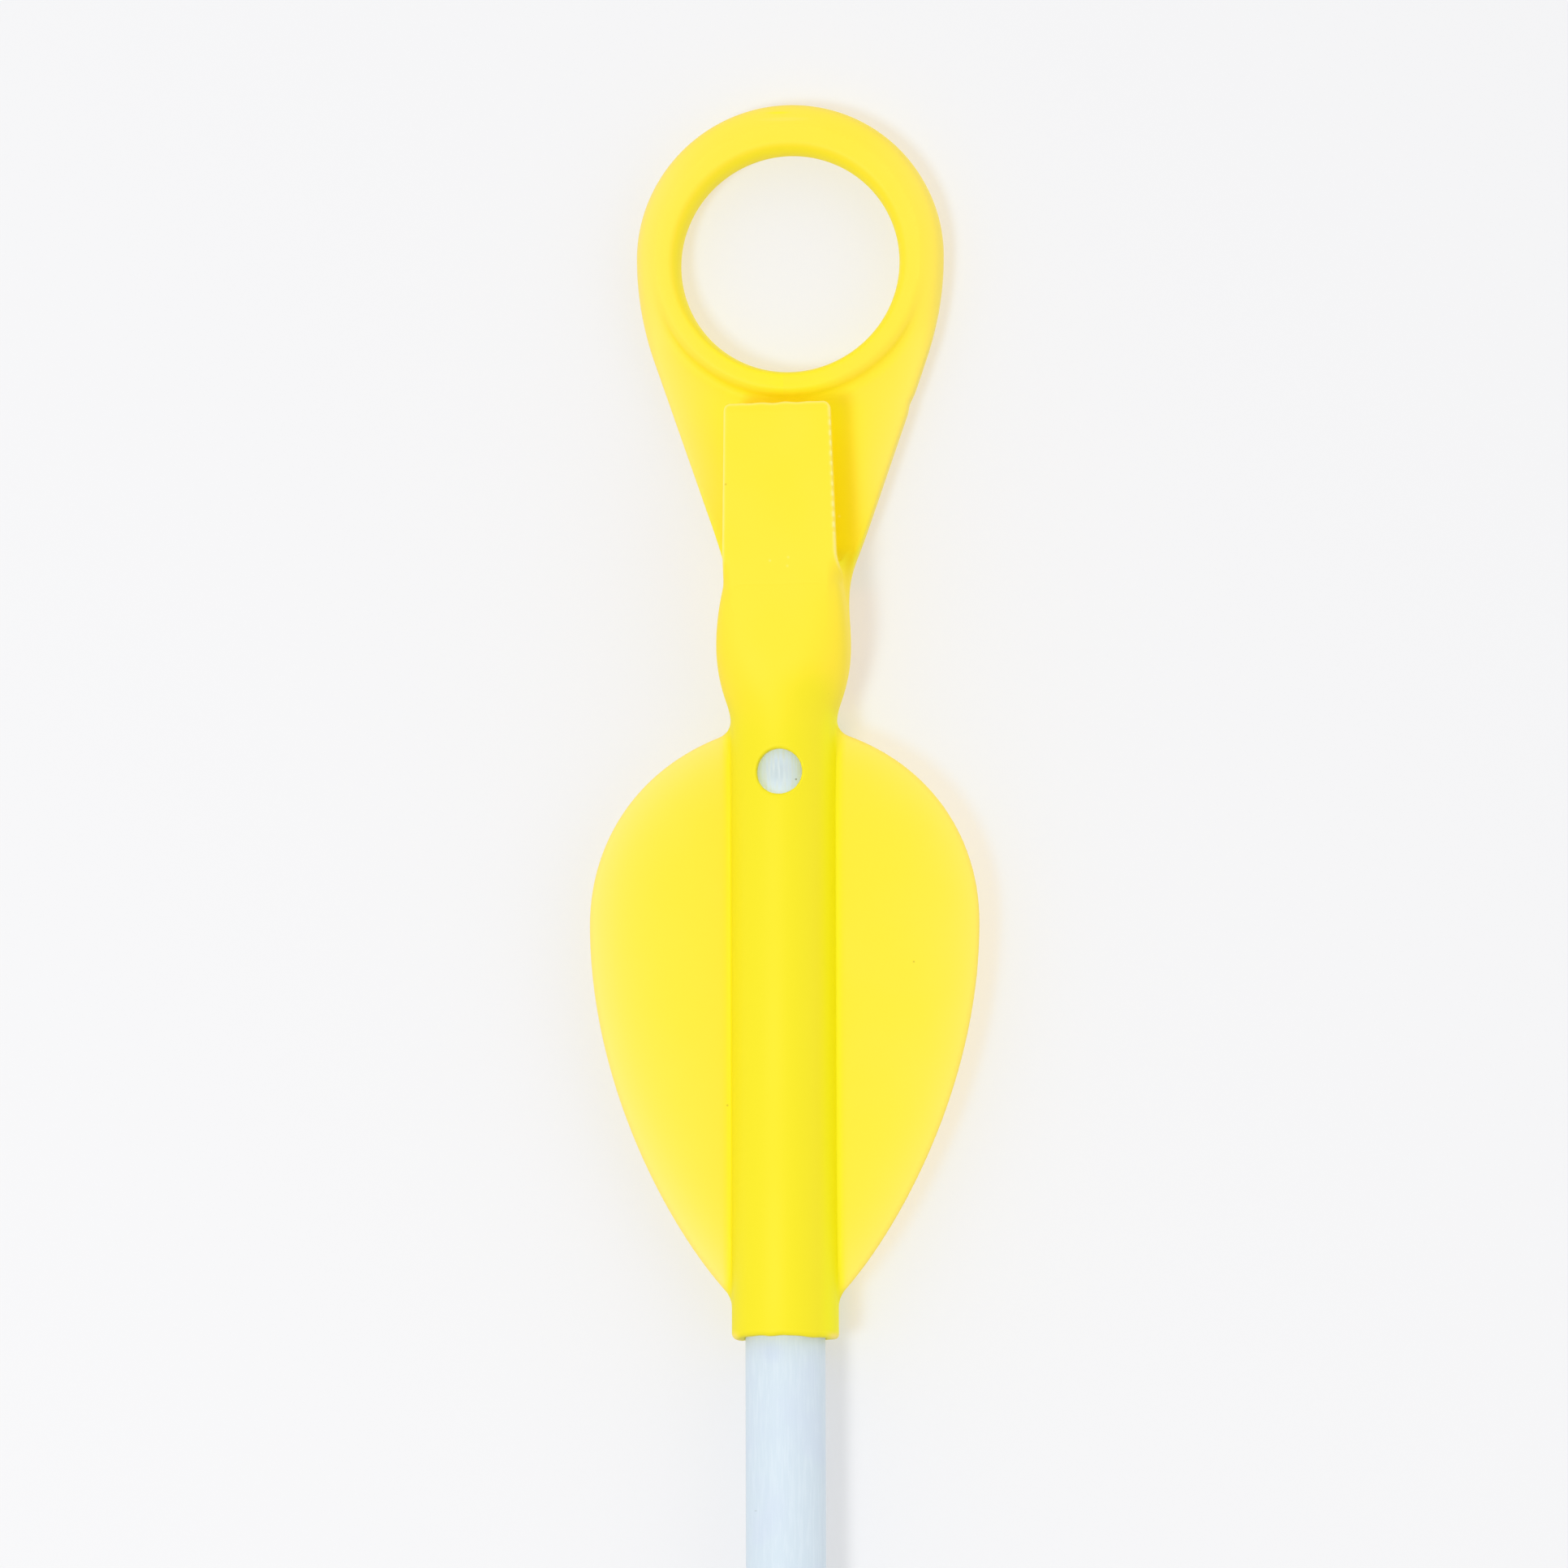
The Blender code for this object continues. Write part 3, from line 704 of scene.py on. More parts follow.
def bored(solid, x, station, height):
    """A solid with the rod's socket and the sight hole cut out of it."""
    socket = np.maximum(np.hypot(x, height) - rod_radius - BORE_CLEARANCE, station - BORE_DEPTH)
    solid = rounded_corner(solid, -socket, BORE_EDGE)
    hole = np.hypot(x, station - SIGHT_HOLE_STATION) - SIGHT_HOLE_RADIUS
    return rounded_corner(solid, -np.maximum(hole, -height), SIGHT_HOLE_EDGE)


def tongue_share(station, height):
    """How far a place belongs to the tongue's own piece, across the hidden seam at its root."""
    return step_up(station, SEAM_START, SEAM_END) * step_up(height, *SEAM_HEIGHT_SPAN)


def head_field(x, station, height):
    """The head without its tongue, which it carries only as a short hidden stub."""
    solid = body_form(x, station, height)
    stub = np.maximum(tongue_form(x, station, height) + SEAM_INSET, station - STUB_END)
    solid = melted(solid, stub, TONGUE_FILLET)
    solid = solid + SEAM_INSET * tongue_share(station, height)
    return bored(solid, x, station, height)


# A skin of points and faces on such a form, one point in each grid cell that its surface crosses
CELL_CORNERS = [(i, j, k) for i in (0, 1) for j in (0, 1) for k in (0, 1)]
NUDGES_IN_CELL = 20
SETTLING_STEPS = 3
LONGEST_STEP = 0.4
LEAST_STEEPNESS = 0.05
LEAST_LENGTH = 1e-12


def graded(low, high, cell, fine_spans=(), fine_cell=None):
    """Grid places from low to high, closer together inside the fine spans."""
    places = [low]
    while places[-1] < high:
        fine = any(start <= places[-1] < end for start, end in fine_spans)
        places.append(places[-1] + (fine_cell if fine else cell))
    return np.array(places)


def at_corner(array, steps):
    """A grid's values at one corner of each of its cells."""
    return array[tuple(slice(step, size - 1 + step) for step, size in zip(steps, array.shape))]


def crossing_points(values, crossed, axes):
    """A point in each crossed cell, at the mean of the places where the surface crosses its edges."""
    cells = np.argwhere(crossed)
    corner_values = np.stack([at_corner(values, steps)[crossed] for steps in CELL_CORNERS], axis=1)
    total = np.zeros((len(cells), 3))
    found = np.zeros(len(cells))
    for a, first in enumerate(CELL_CORNERS):
        for b, second in enumerate(CELL_CORNERS):
            if a < b and sum(abs(p - q) for p, q in zip(first, second)) == 1:
                one = corner_values[:, a]
                two = corner_values[:, b]
                cut = (one < 0) != (two < 0)
                share = np.where(cut, one / np.where(cut, one - two, 1), 0)[:, None]
                place = np.array(first) + share * (np.array(second) - np.array(first))
                total += place * cut[:, None]
                found += cut
    inner = cells + total / found[:, None]
    columns = [np.interp(inner[:, i], np.arange(len(places)), places) for i, places in enumerate(axes)]
    return np.stack(columns, axis=1)


def crossing_faces(inside, crossed):
    """A face round each grid edge that the surface crosses, turned outwards, from cell to cell."""
    number = np.full(crossed.shape, -1)
    number[crossed] = np.arange(np.count_nonzero(crossed))
    faces = []
    for axis in range(3):
        start = np.delete(inside, -1, axis)
        end = np.delete(inside, 0, axis)
        u = (axis + 1) % 3
        v = (axis + 2) % 3
        for leaves in (True, False):
            edges = np.argwhere((start != end) & (start == leaves))
            around = []
            for du, dv in ((0, 0), (-1, 0), (-1, -1), (0, -1)):
                place = edges.copy()
                place[:, u] += du
                place[:, v] += dv
                around.append(number[tuple(place.T)])
            quads = np.stack(around, axis=1)
            faces.append(quads if leaves else quads[:, ::-1])
    return np.vstack(faces).tolist()


def field_slope(field, points, nudge):
    """How steeply a field climbs at each point, along each axis."""
    parts = []
    for shift in nudge * np.eye(3):
        parts.append((field(*(points + shift).T) - field(*(points - shift).T)) / (2 * nudge))
    return np.stack(parts, axis=1)


def skinned(name, field, axes):
    """A mesh of the surface where a field of (x, station, height) is zero, on a grid of given places.

    Its points are moved from the grid onto the surface, and take their normals from the field.
    """
    cell = min(np.diff(places).min() for places in axes)
    values = field(*np.meshgrid(*axes, indexing="ij", sparse=True))
    inside = values < 0
    filled = sum(at_corner(inside, steps).astype(np.int8) for steps in CELL_CORNERS)
    crossed = (filled > 0) & (filled < len(CELL_CORNERS))
    points = crossing_points(values, crossed, axes)
    nudge = cell / NUDGES_IN_CELL
    for _ in range(SETTLING_STEPS):
        slope = field_slope(field, points, nudge)
        steepness = np.maximum((slope**2).sum(axis=1), LEAST_STEEPNESS)
        move = (field(*points.T) / steepness)[:, None] * slope
        length = np.maximum(np.linalg.norm(move, axis=1), LEAST_LENGTH)
        points = points - move * np.minimum(1, LONGEST_STEP * cell / length)[:, None]
    normals = field_slope(field, points, nudge)
    normals /= np.maximum(np.linalg.norm(normals, axis=1), LEAST_LENGTH)[:, None]
    piece = named_mesh(name, in_frame(points), crossing_faces(inside, crossed))
    piece.data.normals_split_custom_set_from_vertices(normals.tolist())
    return piece, points, normals


HEAD_CELL = 0.0004
HEAD_CELL_UP = 0.8 * HEAD_CELL
FINE_CELL = 0.0002
FINE_REACH = 0.0034
FINE_MOUTH = 0.0012
MARGIN = 0.001
fine_across = (-FINE_REACH, FINE_REACH)
fine_hole = (SIGHT_HOLE_STATION - FINE_REACH, SIGHT_HOLE_STATION + FINE_REACH)
fine_mouth = (-MARGIN, FINE_MOUTH)
head_axes = (
    graded(-leaf_half_width - MARGIN, leaf_half_width + MARGIN, HEAD_CELL, [fine_across], FINE_CELL),
    graded(-MARGIN, ring_top + MARGIN, HEAD_CELL, [fine_mouth, fine_hole], FINE_CELL),
    graded(-axis_height - MARGIN, sleeve_radius + MARGIN, HEAD_CELL_UP),
)
head, head_points, head_normals = skinned("moulded_head", head_field, head_axes)

# Masks at the head's points: painted sheen at the outer edges, painted shade in creases and the hole,
# painted light in the shade by the tongue, and where the rod backs the sleeve
LIP_DEPTH = 0.0010
LIP_CORNER_SPAN = (0.0050, 0.0063)
# Painted sheen on the outer edges and painted light on the lip's corners
PAINTED_SHEEN_LIP_SHARE = 0.7
PAINTED_SHEEN_WING_HEIGHT = 0.002
PAINTED_SHEEN_WING_SHARE = 0.85
PAINTED_SHEEN_WING_REACH = 0.0030
PAINTED_SHEEN_RING_SHARE = 0.75
PAINTED_SHEEN_RING_REACH = 0.0028
PAINTED_SHEEN_RING_SPAN = (0.098, 0.112)
PAINTED_SHEEN_CROWN_LOSS = 0.6
PAINTED_SHEEN_CROWN_SPAN = (0.145, 0.154)
PAINTED_SHEEN_MIDDLE_SHARE = 0.8
PAINTED_SHEEN_LEFT_GAIN = 0.2
PAINTED_SHEEN_LEFT_WIDTH = 0.004
# Painted shade, a deeper yellow, in the creases and on the hole's inner wall
CREASE_REACHES = (0.0006, 0.0012, 0.0020)
CREASE_SPAN = (0.04, 0.60)
HOLE_WALL_SHARE = 0.8
HOLE_WALL_SPAN = (0.0002, 0.0013)
OVER_ROD_EDGE_SPAN = (0.0001, 0.0014)
OVER_ROD_END_SPAN = (0.0740, 0.0860)
# Painted light in the shade by the tongue and on the sleeve's right flank
PAINTED_GLOW_LEFT_REACH = 0.0045
PAINTED_GLOW_RIGHT_REACH = 0.0026
PAINTED_GLOW_HIGHEST = 0.001
PAINTED_GLOW_SPAN = (0.0955, 0.0990)
PAINTED_GLOW_LEFT_SHARE = 0.35
PAINTED_GLOW_SIDE_SPAN = (-0.005, 0.005)
FLANK_SHARE = 0.9
FLANK_SPAN = (0.0044, 0.0062)
FLANK_EDGE = 0.0003


def lip_corners(points):
    """Where the sleeve's lip hangs past the rod at its two sides, as thin as a drip."""
    x, station, _ = points.T
    return (1 - step_up(station, 0.0, LIP_DEPTH)) * step_up(np.abs(x), *LIP_CORNER_SPAN)


def thin_edges(points):
    """Painted sheen near the outer edges of the wings and the ring, more on the left where the light falls
    and less at the ring's top, and painted light on the lip's corners.
    """
    x, station, height = points.T
    on_wing = (np.abs(height) < PAINTED_SHEEN_WING_HEIGHT) & (np.abs(x) > sleeve_radius) & (station < LEAF_TOP)
    wings = PAINTED_SHEEN_WING_SHARE * on_wing * np.exp(-np.abs(leaf_inset(x, station)) / PAINTED_SHEEN_WING_REACH)
    ring = PAINTED_SHEEN_RING_SHARE * np.exp(-np.abs(plate_inset(x, station)) / PAINTED_SHEEN_RING_REACH)
    ring = ring * step_up(station, *PAINTED_SHEEN_RING_SPAN)
    ring = ring * (1 - PAINTED_SHEEN_CROWN_LOSS * step_up(station, *PAINTED_SHEEN_CROWN_SPAN))
    side_share = PAINTED_SHEEN_MIDDLE_SHARE - PAINTED_SHEEN_LEFT_GAIN * np.tanh(x / PAINTED_SHEEN_LEFT_WIDTH)
    return np.maximum(np.maximum(wings, ring) * side_share, PAINTED_SHEEN_LIP_SHARE * lip_corners(points))


def creases(points, normals):
    """Mask for painted shade: how far each place lies in a crease or in the hole, where light bounces
    between yellow walls, and where the yellow is painted deeper.
    """
    total = 0
    for reach in CREASE_REACHES:
        ahead = (points + normals * reach).T
        clear = np.minimum(head_field(*ahead), tongue_form(*ahead))
        total = total + np.clip(1 - clear / reach, 0, 1) / len(CREASE_REACHES)
    x, station, _ = points.T
    from_hole = from_ring_middle(x, station, HOLE_STATION) - HOLE_RADIUS
    in_hole = HOLE_WALL_SHARE * (1 - step_up(from_hole, *HOLE_WALL_SPAN))
    return np.maximum(step_up(total, *CREASE_SPAN), in_hole)


def over_rod(points):
    """Where the blue-grey rod shows faintly through the sleeve's wall."""
    x, station, height = points.T
    off_sleeve = np.hypot(x, height) - sleeve_radius
    along = (1 - step_up(station, *OVER_ROD_END_SPAN)) * (1 - lip_corners(points))
    return (1 - step_up(off_sleeve, *OVER_ROD_EDGE_SPAN)) * along


def aglow(points):
    """Painted light in the shade: on the plate by the tongue, most at the right, and on the sleeve's right
    flank, as if light filtered through.
    """
    x, station, height = points.T
    side_reach = np.where(x < 0, PAINTED_GLOW_LEFT_REACH, PAINTED_GLOW_RIGHT_REACH)
    off_tongue = np.maximum(tongue_inset(x, station), 0) / side_reach
    on_plate = (height < PAINTED_GLOW_HIGHEST) & (height > plate_height)
    side_share = PAINTED_GLOW_LEFT_SHARE + (1 - PAINTED_GLOW_LEFT_SHARE) * step_up(x, *PAINTED_GLOW_SIDE_SPAN)
    below_tongue = on_plate * np.exp(-(off_tongue**2)) * step_up(station, *PAINTED_GLOW_SPAN) * side_share
    off_sleeve = np.hypot(x, height) - sleeve_radius
    on_flank = over_rod(points) * (1 - step_up(off_sleeve, 0.0, FLANK_EDGE)) * step_up(x, *FLANK_SPAN)
    return np.maximum(below_tongue, FLANK_SHARE * on_flank)


# Colours of the light that the plastic lets through: most at the thin wings, least at the thick neck
YELLOW_LETS_THROUGH = (0.76, 0.57, 0.15)
WINGS_LET_THROUGH = (0.97, 0.82, 0.58)
NECK_LETS_THROUGH = (0.56, 0.20, 0.02)
NECK_THICK_SPAN = (0.0770, 0.0800)
NECK_THIN_SPAN = (0.0940, 0.0970)
HOLE_EDGE_LETS_THROUGH = (0.94, 0.92, 0.84)
HOLE_EDGE_SPAN = (0.0008, 0.0020)


def light_through(points):
    """Colour of the light that each place of the head or the tongue lets through."""
    x, station, height = points.T
    on_wing = (np.abs(x) > sleeve_radius) & (station < LEAF_TOP)
    on_neck = step_up(station, *NECK_THICK_SPAN) * (1 - step_up(station, *NECK_THIN_SPAN))
    from_hole = np.hypot(x, station - SIGHT_HOLE_STATION) - SIGHT_HOLE_RADIUS
    at_hole = (height > 0) * (1 - step_up(from_hole, *HOLE_EDGE_SPAN))
    colours = np.tile(YELLOW_LETS_THROUGH, (len(points), 1))
    places = ((on_wing, WINGS_LET_THROUGH), (on_neck, NECK_LETS_THROUGH), (at_hole, HOLE_EDGE_LETS_THROUGH))
    for share, other in places:
        colours += share[:, None] * (np.array(other) - colours)
    return colours


YELLOW_MASKS = ("over_rod", "thin_edge", "crease", "aglow", "flash")


def give_yellow_marks(piece, light, **masks):
    """What the yellow finish reads at each point: its masks, 0 if not given, and the light let through."""
    none = np.zeros(len(light))
    for name in YELLOW_MASKS:
        mask = piece.data.attributes.new(name, "FLOAT", "POINT")
        mask.data.foreach_set("value", masks.get(name, none).astype(np.float32))
    through = piece.data.attributes.new("light_through", "FLOAT_COLOR", "POINT")
    opaque = np.ones((len(light), 1))
    through.data.foreach_set("color", np.hstack((light, opaque)).astype(np.float32).ravel())


give_yellow_marks(
    head,
    light_through(head_points),
    over_rod=over_rod(head_points),
    thin_edge=thin_edges(head_points),
    crease=creases(head_points, head_normals),
    aglow=aglow(head_points),
)

YELLOW_COLOUR = (0.95, 0.742, 0.027, 1)
# Pale yellow: the flow patches, the gate's edge, and painted sheen at the outer edges
YELLOW_PALE = (0.955, 0.768, 0.195, 1)
# Deeper yellow: painted shade in the creases and the hole, and the gate's mark
YELLOW_DEEP = (0.94, 0.80, 0.0, 1)
# Lemon yellow of the painted light in the shade
YELLOW_PAINTED_GLOW = (0.89, 0.83, 0.0, 1)
YELLOW_OVER_ROD = (0.85, 0.735, 0.011, 1)
YELLOW_FLASH = (1.0, 0.93, 0.40, 1)
YELLOW_PATCH_SHARE = 0.06
YELLOW_PATCH_SPAN = (0.35, 0.70)
YELLOW_SPECK_COLOUR = (0.45, 0.32, 0.01, 1)
YELLOW_SPECK_SHARE = 0.35
FLECK_COLOUR = (0.40, 0.30, 0.01, 1)
FLECK_PLACES = [
    (0.00605, 0.0805, 0.0033),
    (0.0164, 0.0469, 0.0011),
    (-0.0071, 0.0291, 0.0012),
    (-0.0067, 0.1070, 0.0052),
]
DOT_COLOUR = (1.0, 0.92, 0.35, 1)
DOT_PLACES = [
    (-0.0011, 0.0972, 0.0057),
    (0.0012, 0.0976, 0.0057),
    (0.0011, 0.0965, 0.0057),
    (0.0069, 0.1037, -0.0021),
]
# A patch of painted shade at the neck's foot, in the colour of the sleeve over the rod
NECK_FOOT_SHADE_PLACES = [(0.0038, 0.0803, 0.0055)]
GATE_PLACES = [(-0.0006, 0.1552, -0.0003)]
GATE_EDGE_PLACES = [(0.0002, 0.1543, -0.0003)]


def carried(tree, name):
    """The node that reads what a piece carries at its points under a name."""
    node = tree.nodes.new("ShaderNodeAttribute")
    node.attribute_name = name
    return node


def shared_shader(tree, share, first, second):
    """A shader between two shaders, by a share."""
    node = tree.nodes.new("ShaderNodeMixShader")
    for socket, source in zip(node.inputs, (share, first, second)):
        tree.links.new(source, socket)
    return node.outputs[0]


def yellow_finish():
    """Bright satin polypropylene: faint flow patches, mould flash and stray specks, with painted sheen at
    the edges, painted shade in the creases and at the neck's foot, and painted light in the shade by the
    tongue.

    It lets some light through, yellowed, so that what lies in its shade is warm and not dark.
    """
    material, tree, shader = new_finish("yellow_plastic")
    grain = placed_group(tree, surface_grain, grain_size=0.00022, patch_size=0.014)
    patches = fitted(tree, grain.outputs["Patches"], *YELLOW_PATCH_SPAN)
    specks = placed_group(tree, stray_specks, spacing=0.011, share=0.10, speck_size=0.022)
    patch_share = math_node(tree, "MULTIPLY", patches, YELLOW_PATCH_SHARE)
    colour = mixed(tree, patch_share, YELLOW_COLOUR, YELLOW_PALE)
    # Tints: painted sheen, the rod seen through the sleeve, painted shade in creases, painted light in the
    # shade, and flash
    tints = {
        "thin_edge": YELLOW_PALE,
        "over_rod": YELLOW_OVER_ROD,
        "crease": YELLOW_DEEP,
        "aglow": YELLOW_PAINTED_GLOW,
        "flash": YELLOW_FLASH,
    }
    for name, tint in tints.items():
        colour = mixed(tree, carried(tree, name).outputs["Fac"], colour, tint)
    colour = marked(tree, colour, FLECK_COLOUR, FLECK_PLACES, size=0.00022, strength=0.5)
    colour = marked(tree, colour, DOT_COLOUR, DOT_PLACES, size=0.00026, strength=0.22)
    # Painted shade at the neck's foot
    colour = marked(tree, colour, YELLOW_OVER_ROD, NECK_FOOT_SHADE_PLACES, size=0.0052, strength=0.8)
    colour = marked(tree, colour, YELLOW_DEEP, GATE_PLACES, size=0.0022, strength=0.7, length=0.13)
    colour = marked(
        tree, colour, YELLOW_PALE, GATE_EDGE_PLACES, size=0.0045, strength=0.2, length=0.09
    )
    dark = math_node(tree, "MULTIPLY", specks.outputs["Specks"], YELLOW_SPECK_SHARE)
    colour = mixed(tree, dark, colour, YELLOW_SPECK_COLOUR)
    tree.links.new(colour, shader.inputs["Base Color"])
    shader.inputs["Specular IOR Level"].default_value = 0.24
    roughened(tree, shader, patches, base=0.5, more=0.08)
    embossed(tree, shader, grain.outputs["Height"], strength=0.15, depth=0.00003)
    through = tree.nodes.new("ShaderNodeBsdfTransparent")
    tree.links.new(carried(tree, "light_through").outputs["Color"], through.inputs["Color"])
    shadow_ray = tree.nodes.new("ShaderNodeLightPath").outputs["Is Shadow Ray"]
    filtered = shared_shader(tree, shadow_ray, shader.outputs[0], through.outputs[0])
    tree.links.new(filtered, tree.nodes["Material Output"].inputs["Surface"])
    return material


yellow = yellow_finish()
head.data.materials.append(yellow)
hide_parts("ring_head")
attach(head, "head")


# Spring tongue
# The clip's tongue is moulded in one with the neck and bends at its root. Thin flash stands along its
# edge, where the two halves of the mould met.
TONGUE_CELL = 0.00022
ROOT_SKIN_BELOW_SEAM = 0.001
ROOT_SKIN_PAST_STUB = 0.0015
ROOT_SKIN_FLOOR = 0.0016
FLASH_WIDTH = 0.0002
FLASH_SPAN = (0.0945, 0.0985)
FLASH_SHARE = 0.5
STITCH_PITCH = 0.0013
STITCH_SPAN = (-0.1, 0.4)
STITCH_LEAST = 0.2
STITCH_GAIN = 0.55
STITCHED_SIDE = 0.005
STITCHED_START = 0.1006
STITCHED_END = 0.1155


def tongue_field(x, station, height):
    """The tongue and the skin of the neck round its root, up to the hidden seam."""
    solid = melted(body_form(x, station, height), tongue_form(x, station, height), TONGUE_FILLET)
    solid = solid + SEAM_INSET * (1 - tongue_share(station, height))
    solid = np.maximum(solid, SEAM_START - ROOT_SKIN_BELOW_SEAM - station)
    lowest = np.where(station < STUB_END + ROOT_SKIN_PAST_STUB, ROOT_SKIN_FLOOR, 0.0)
    return np.maximum(solid, lowest - height)


def tongue_flash(points):
    """Where flash stands along the tongue's upper edge, torn into stitches along most of its right side."""
    x, station, height = points.T
    from_edge = np.abs(tongue_inset(x, station)) / FLASH_WIDTH
    on_top = step_up(height, TONGUE_TIP_TOP - TONGUE_THICK / 2, TONGUE_TIP_TOP)
    line = on_top * np.exp(-(from_edge**2)) * step_up(station, *FLASH_SPAN)
    stitches = step_up(np.sin(station * 2 * math.pi / STITCH_PITCH), *STITCH_SPAN)
    stitched = (x > STITCHED_SIDE) & (station > STITCHED_START) & (station < STITCHED_END)
    return line * np.where(stitched, STITCH_LEAST + STITCH_GAIN * stitches, FLASH_SHARE)


tongue_axes = (
    graded(-NECK_HALF_WIDTH - MARGIN, NECK_HALF_WIDTH + MARGIN, TONGUE_CELL),
    graded(SEAM_START - ROOT_SKIN_BELOW_SEAM - MARGIN, TONGUE_TIP + MARGIN, TONGUE_CELL),
    graded(-MARGIN, sleeve_radius + MARGIN, TONGUE_CELL),
)
tongue, tongue_points, tongue_normals = skinned("spring_tongue", tongue_field, tongue_axes)
give_yellow_marks(
    tongue,
    light_through(tongue_points),
    crease=creases(tongue_points, tongue_normals),
    flash=tongue_flash(tongue_points),
)
tongue.data.materials.append(yellow)
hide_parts("clip_tongue")
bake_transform(tongue)


# Rod end cap
# A thimble of the same yellow plastic, moulded with a low dome and a rounded lip. It is pushed onto the
# rod and covers its sawn lower end.
cap_low, cap_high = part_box("rod_end_cap")
cap_radius = (cap_high.x - cap_low.x) / 2
CAP_DOME = 0.0042
CAP_DOME_STEPS = 30
CAP_LIP = 0.0005
CAP_LIP_STEPS = 10
CAP_CLEARANCE = 0.00005
CAP_SIDES = 96

cap_profile = [(0, cap_low.y)]
for step in range(1, CAP_DOME_STEPS + 1):
    angle = math.pi / 2 * step / CAP_DOME_STEPS
    cap_profile.append((cap_radius * math.sin(angle), cap_low.y + CAP_DOME * (1 - math.cos(angle))))
for step in range(CAP_LIP_STEPS + 1):
    angle = math.pi / 2 * step / CAP_LIP_STEPS
    reach = cap_radius - CAP_LIP * (1 - math.cos(angle))
    cap_profile.append((reach, cap_high.y - CAP_LIP * (1 - math.sin(angle))))
socket_radius = rod_radius + CAP_CLEARANCE
socket_end = rod_low.y - CAP_CLEARANCE
cap_profile += [(socket_radius, cap_high.y), (socket_radius, socket_end), (0, socket_end)]
cap = turned_piece("end_cap", cap_profile, CAP_SIDES)
give_yellow_marks(cap, np.tile(YELLOW_LETS_THROUGH, (len(cap.data.vertices), 1)))
cap.data.materials.append(yellow)
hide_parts("rod_end_cap")
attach(cap, "head")


# Stage
# A plain pale table under the wand, one large soft lamp from the lower left and a pale room all round.
# Seen directly, or in gloss or glass, the room is one even tone and the table is lifted towards it.
FLOOR_SIZE = 6.0
FLOOR_HEIGHT = -0.0001
FLOOR_COLOUR = (0.82, 0.82, 0.835, 1)
FLOOR_GLOW = (0.91, 0.91, 0.915, 1)
FLOOR_GLOW_SHARE = 0.45

floor_corners = []
for across, along in ((-1, -1), (1, -1), (1, 1), (-1, 1)):
    floor_corners.append((across * FLOOR_SIZE / 2, along * FLOOR_SIZE / 2, FLOOR_HEIGHT))
floor = named_mesh("floor", floor_corners, [(0, 1, 2, 3)])


def seen_rays(tree, rays):
    """Which rays look at the stage: the camera's own, and those that gloss or glass sends on."""
    seen = rays.outputs["Is Camera Ray"]
    for kind in ("Is Glossy Ray", "Is Transmission Ray"):
        seen = math_node(tree, "MAXIMUM", seen, rays.outputs[kind])
    return seen


def floor_finish():
    """Matt pale table top that keeps the wand's shade.

    It is clear from below, to show the wand's back, and for light that bounces, to keep that back lit.
    """
    material, tree, shader = new_finish("pale_floor")
    shader.inputs["Base Color"].default_value = FLOOR_COLOUR
    shader.inputs["Roughness"].default_value = 0.9
    shader.inputs["Specular IOR Level"].default_value = 0.1
    glow = tree.nodes.new("ShaderNodeEmission")
    glow.inputs["Color"].default_value = FLOOR_GLOW
    rays = tree.nodes.new("ShaderNodeLightPath")
    seen = math_node(tree, "MULTIPLY", seen_rays(tree, rays), FLOOR_GLOW_SHARE)
    bright = shared_shader(tree, seen, shader.outputs[0], glow.outputs[0])
    backfacing = tree.nodes.new("ShaderNodeNewGeometry").outputs["Backfacing"]
    passing = math_node(tree, "MAXIMUM", backfacing, rays.outputs["Is Diffuse Ray"])
    clear = tree.nodes.new("ShaderNodeBsdfTransparent")
    surface = shared_shader(tree, passing, bright, clear.outputs[0])
    tree.links.new(surface, tree.nodes["Material Output"].inputs["Surface"])
    return material


floor.data.materials.append(floor_finish())

VIEW_TARGET_STATION = 0.0696
LAMP_FROM_TARGET = (-0.42, -0.36, 1.38)
view_target = Vector((0, mouth_y + VIEW_TARGET_STATION, axis_height))
lamp_data = bpy.data.lights.new("soft_key", "AREA")
lamp_data.shape = "SQUARE"
lamp_data.size = 0.35
lamp_data.energy = 9.6
lamp = bpy.data.objects.new("soft_key", lamp_data)
lamp.location = view_target + Vector(LAMP_FROM_TARGET)
lamp.rotation_euler = (-Vector(LAMP_FROM_TARGET)).to_track_quat("-Z", "Y").to_euler()
lamp.visible_camera = False
bpy.context.scene.collection.objects.link(lamp)

ROOM_HORIZON = 0.68
ROOM_OVERHEAD = 0.43
ROOM_OVERHEAD_SPAN = (0.1, 0.8)
ROOM_LEFT = 0.85
ROOM_TOP = 1.2
ROOM_RIGHT = 1.15
ROOM_SIDE_SPAN = (0.2, 0.9)
ROOM_SEEN = (0.93, 0.93, 0.925, 1)


def grey(level):
    """A grey of one level."""
    return (level, level, level, 1)


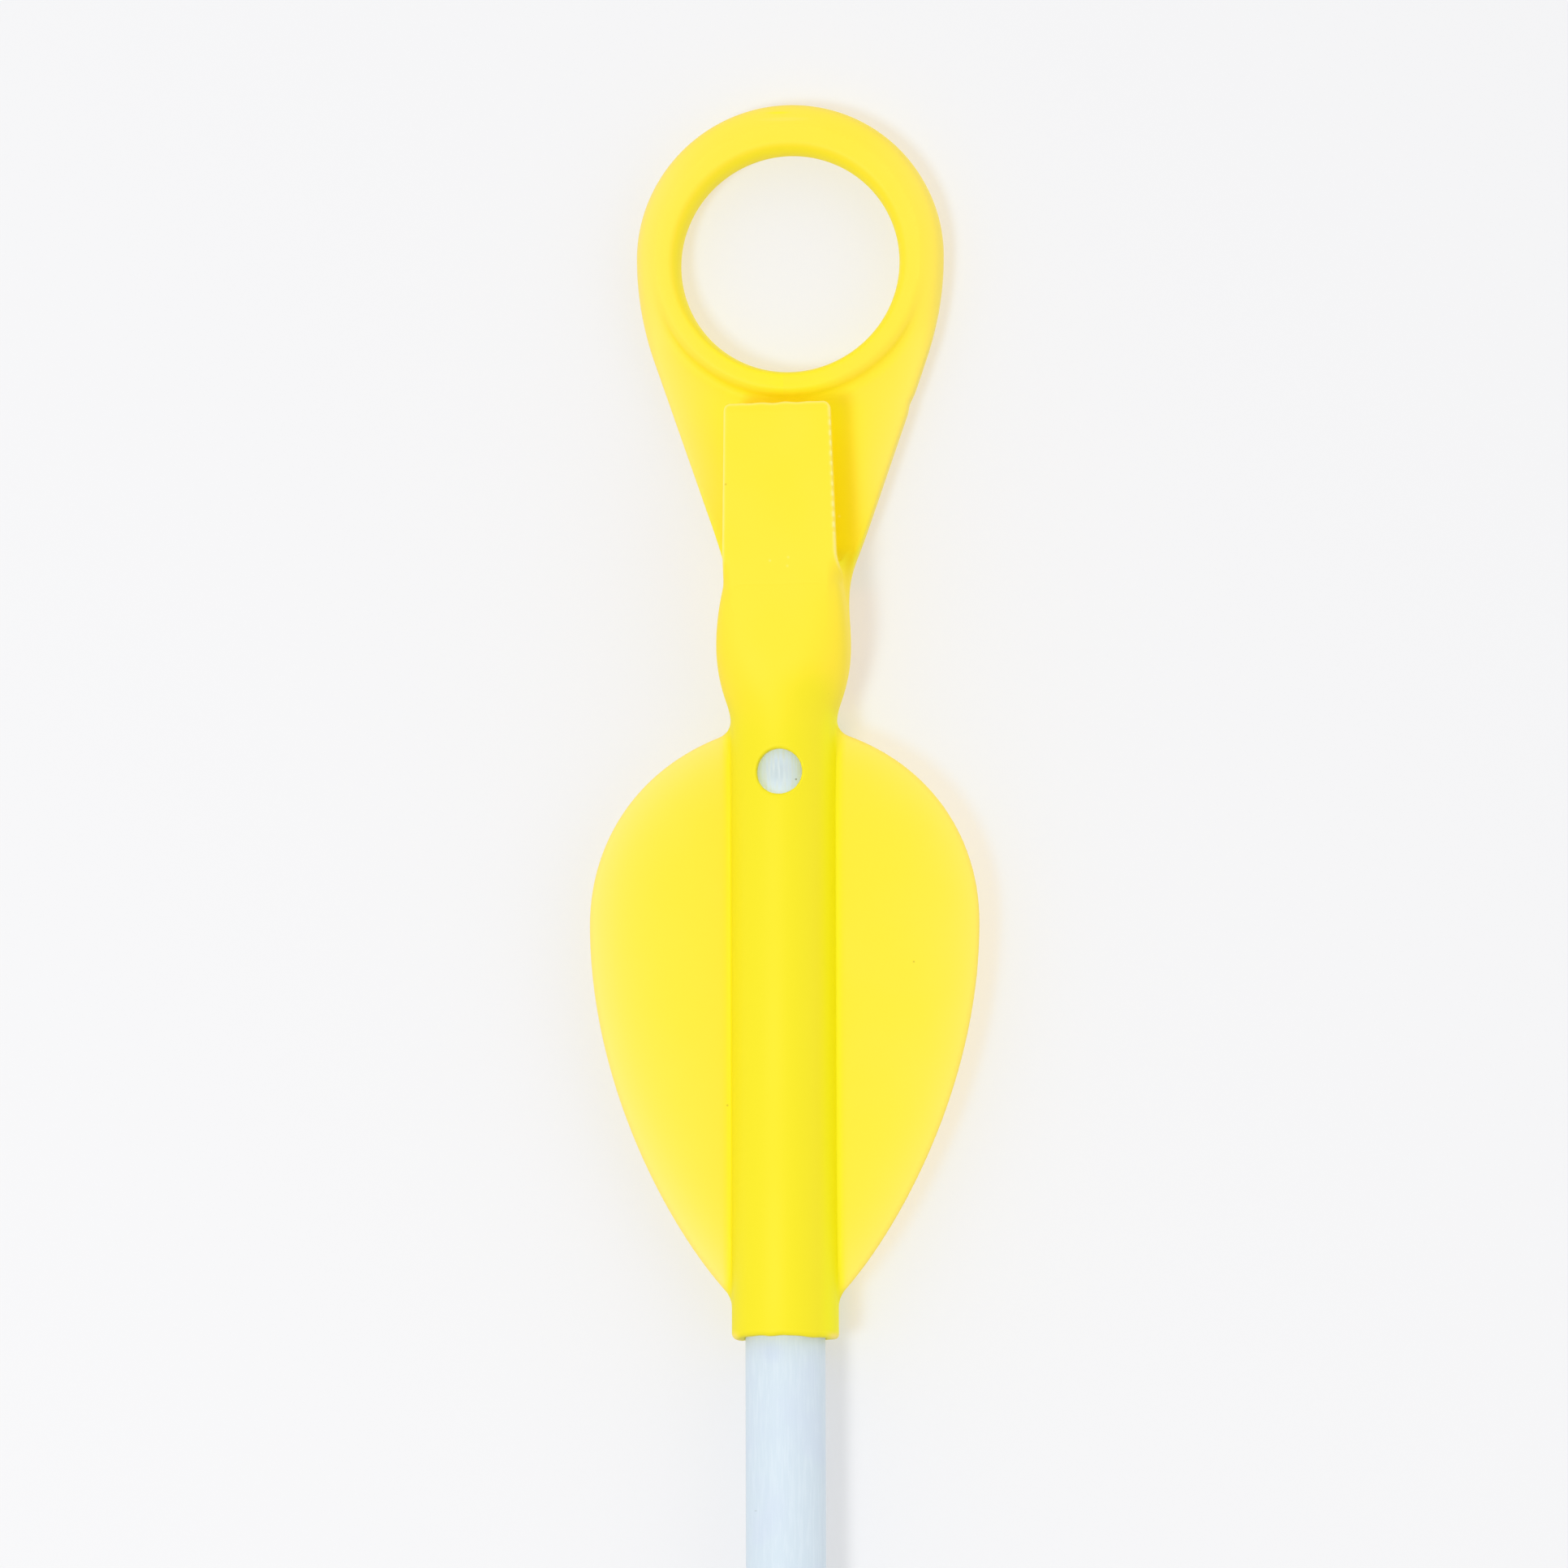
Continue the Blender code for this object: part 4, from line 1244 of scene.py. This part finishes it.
world = bpy.data.worlds.new("pale_room")
world.use_nodes = True
bpy.context.scene.world = world
room = world.node_tree
aim = room.nodes.new("ShaderNodeSeparateXYZ")
room.links.new(room.nodes.new("ShaderNodeTexCoord").outputs["Generated"], aim.inputs[0])
overhead = fitted(room, aim.outputs["Z"], *ROOM_OVERHEAD_SPAN)
room_colour = mixed(room, overhead, grey(ROOM_HORIZON), grey(ROOM_OVERHEAD))
to_left = math_node(room, "MULTIPLY", aim.outputs["X"], -1.0)
for way, level in ((to_left, ROOM_LEFT), (aim.outputs["Y"], ROOM_TOP), (aim.outputs["X"], ROOM_RIGHT)):
    room_colour = mixed(room, fitted(room, way, *ROOM_SIDE_SPAN), room_colour, grey(level))
room_light = room.nodes["Background"]
room.links.new(room_colour, room_light.inputs["Color"])
room_seen = room.nodes.new("ShaderNodeBackground")
room_seen.inputs["Color"].default_value = ROOM_SEEN
room_rays = room.nodes.new("ShaderNodeLightPath")
surround = shared_shader(room, seen_rays(room, room_rays), room_light.outputs[0], room_seen.outputs[0])
room.links.new(surround, room.nodes["World Output"].inputs["Surface"])

VIEW_FROM_BELOW = math.radians(6.0)
VIEW_ROLL = math.radians(-0.15)
VIEW_DISTANCE = 1.28
VIEW_WIDTH = 0.19714
SENSOR_WIDTH = 36.0
camera_data = bpy.data.cameras.new("camera")
camera_data.sensor_width = SENSOR_WIDTH
camera_data.lens = SENSOR_WIDTH * VIEW_DISTANCE / VIEW_WIDTH
camera = bpy.data.objects.new("camera", camera_data)
bpy.context.scene.collection.objects.link(camera)
toward = Vector((math.tan(VIEW_FROM_RIGHT), -math.tan(VIEW_FROM_BELOW), 1)).normalized()
right = Vector((0, 1, 0)).cross(toward).normalized()
up = toward.cross(right)
turn = Matrix((right, up, toward)).transposed().to_4x4() @ Matrix.Rotation(VIEW_ROLL, 4, "Z")
camera.matrix_world = Matrix.Translation(view_target + toward * VIEW_DISTANCE) @ turn
bpy.context.scene.camera = camera
bpy.context.scene.view_settings.view_transform = "Standard"
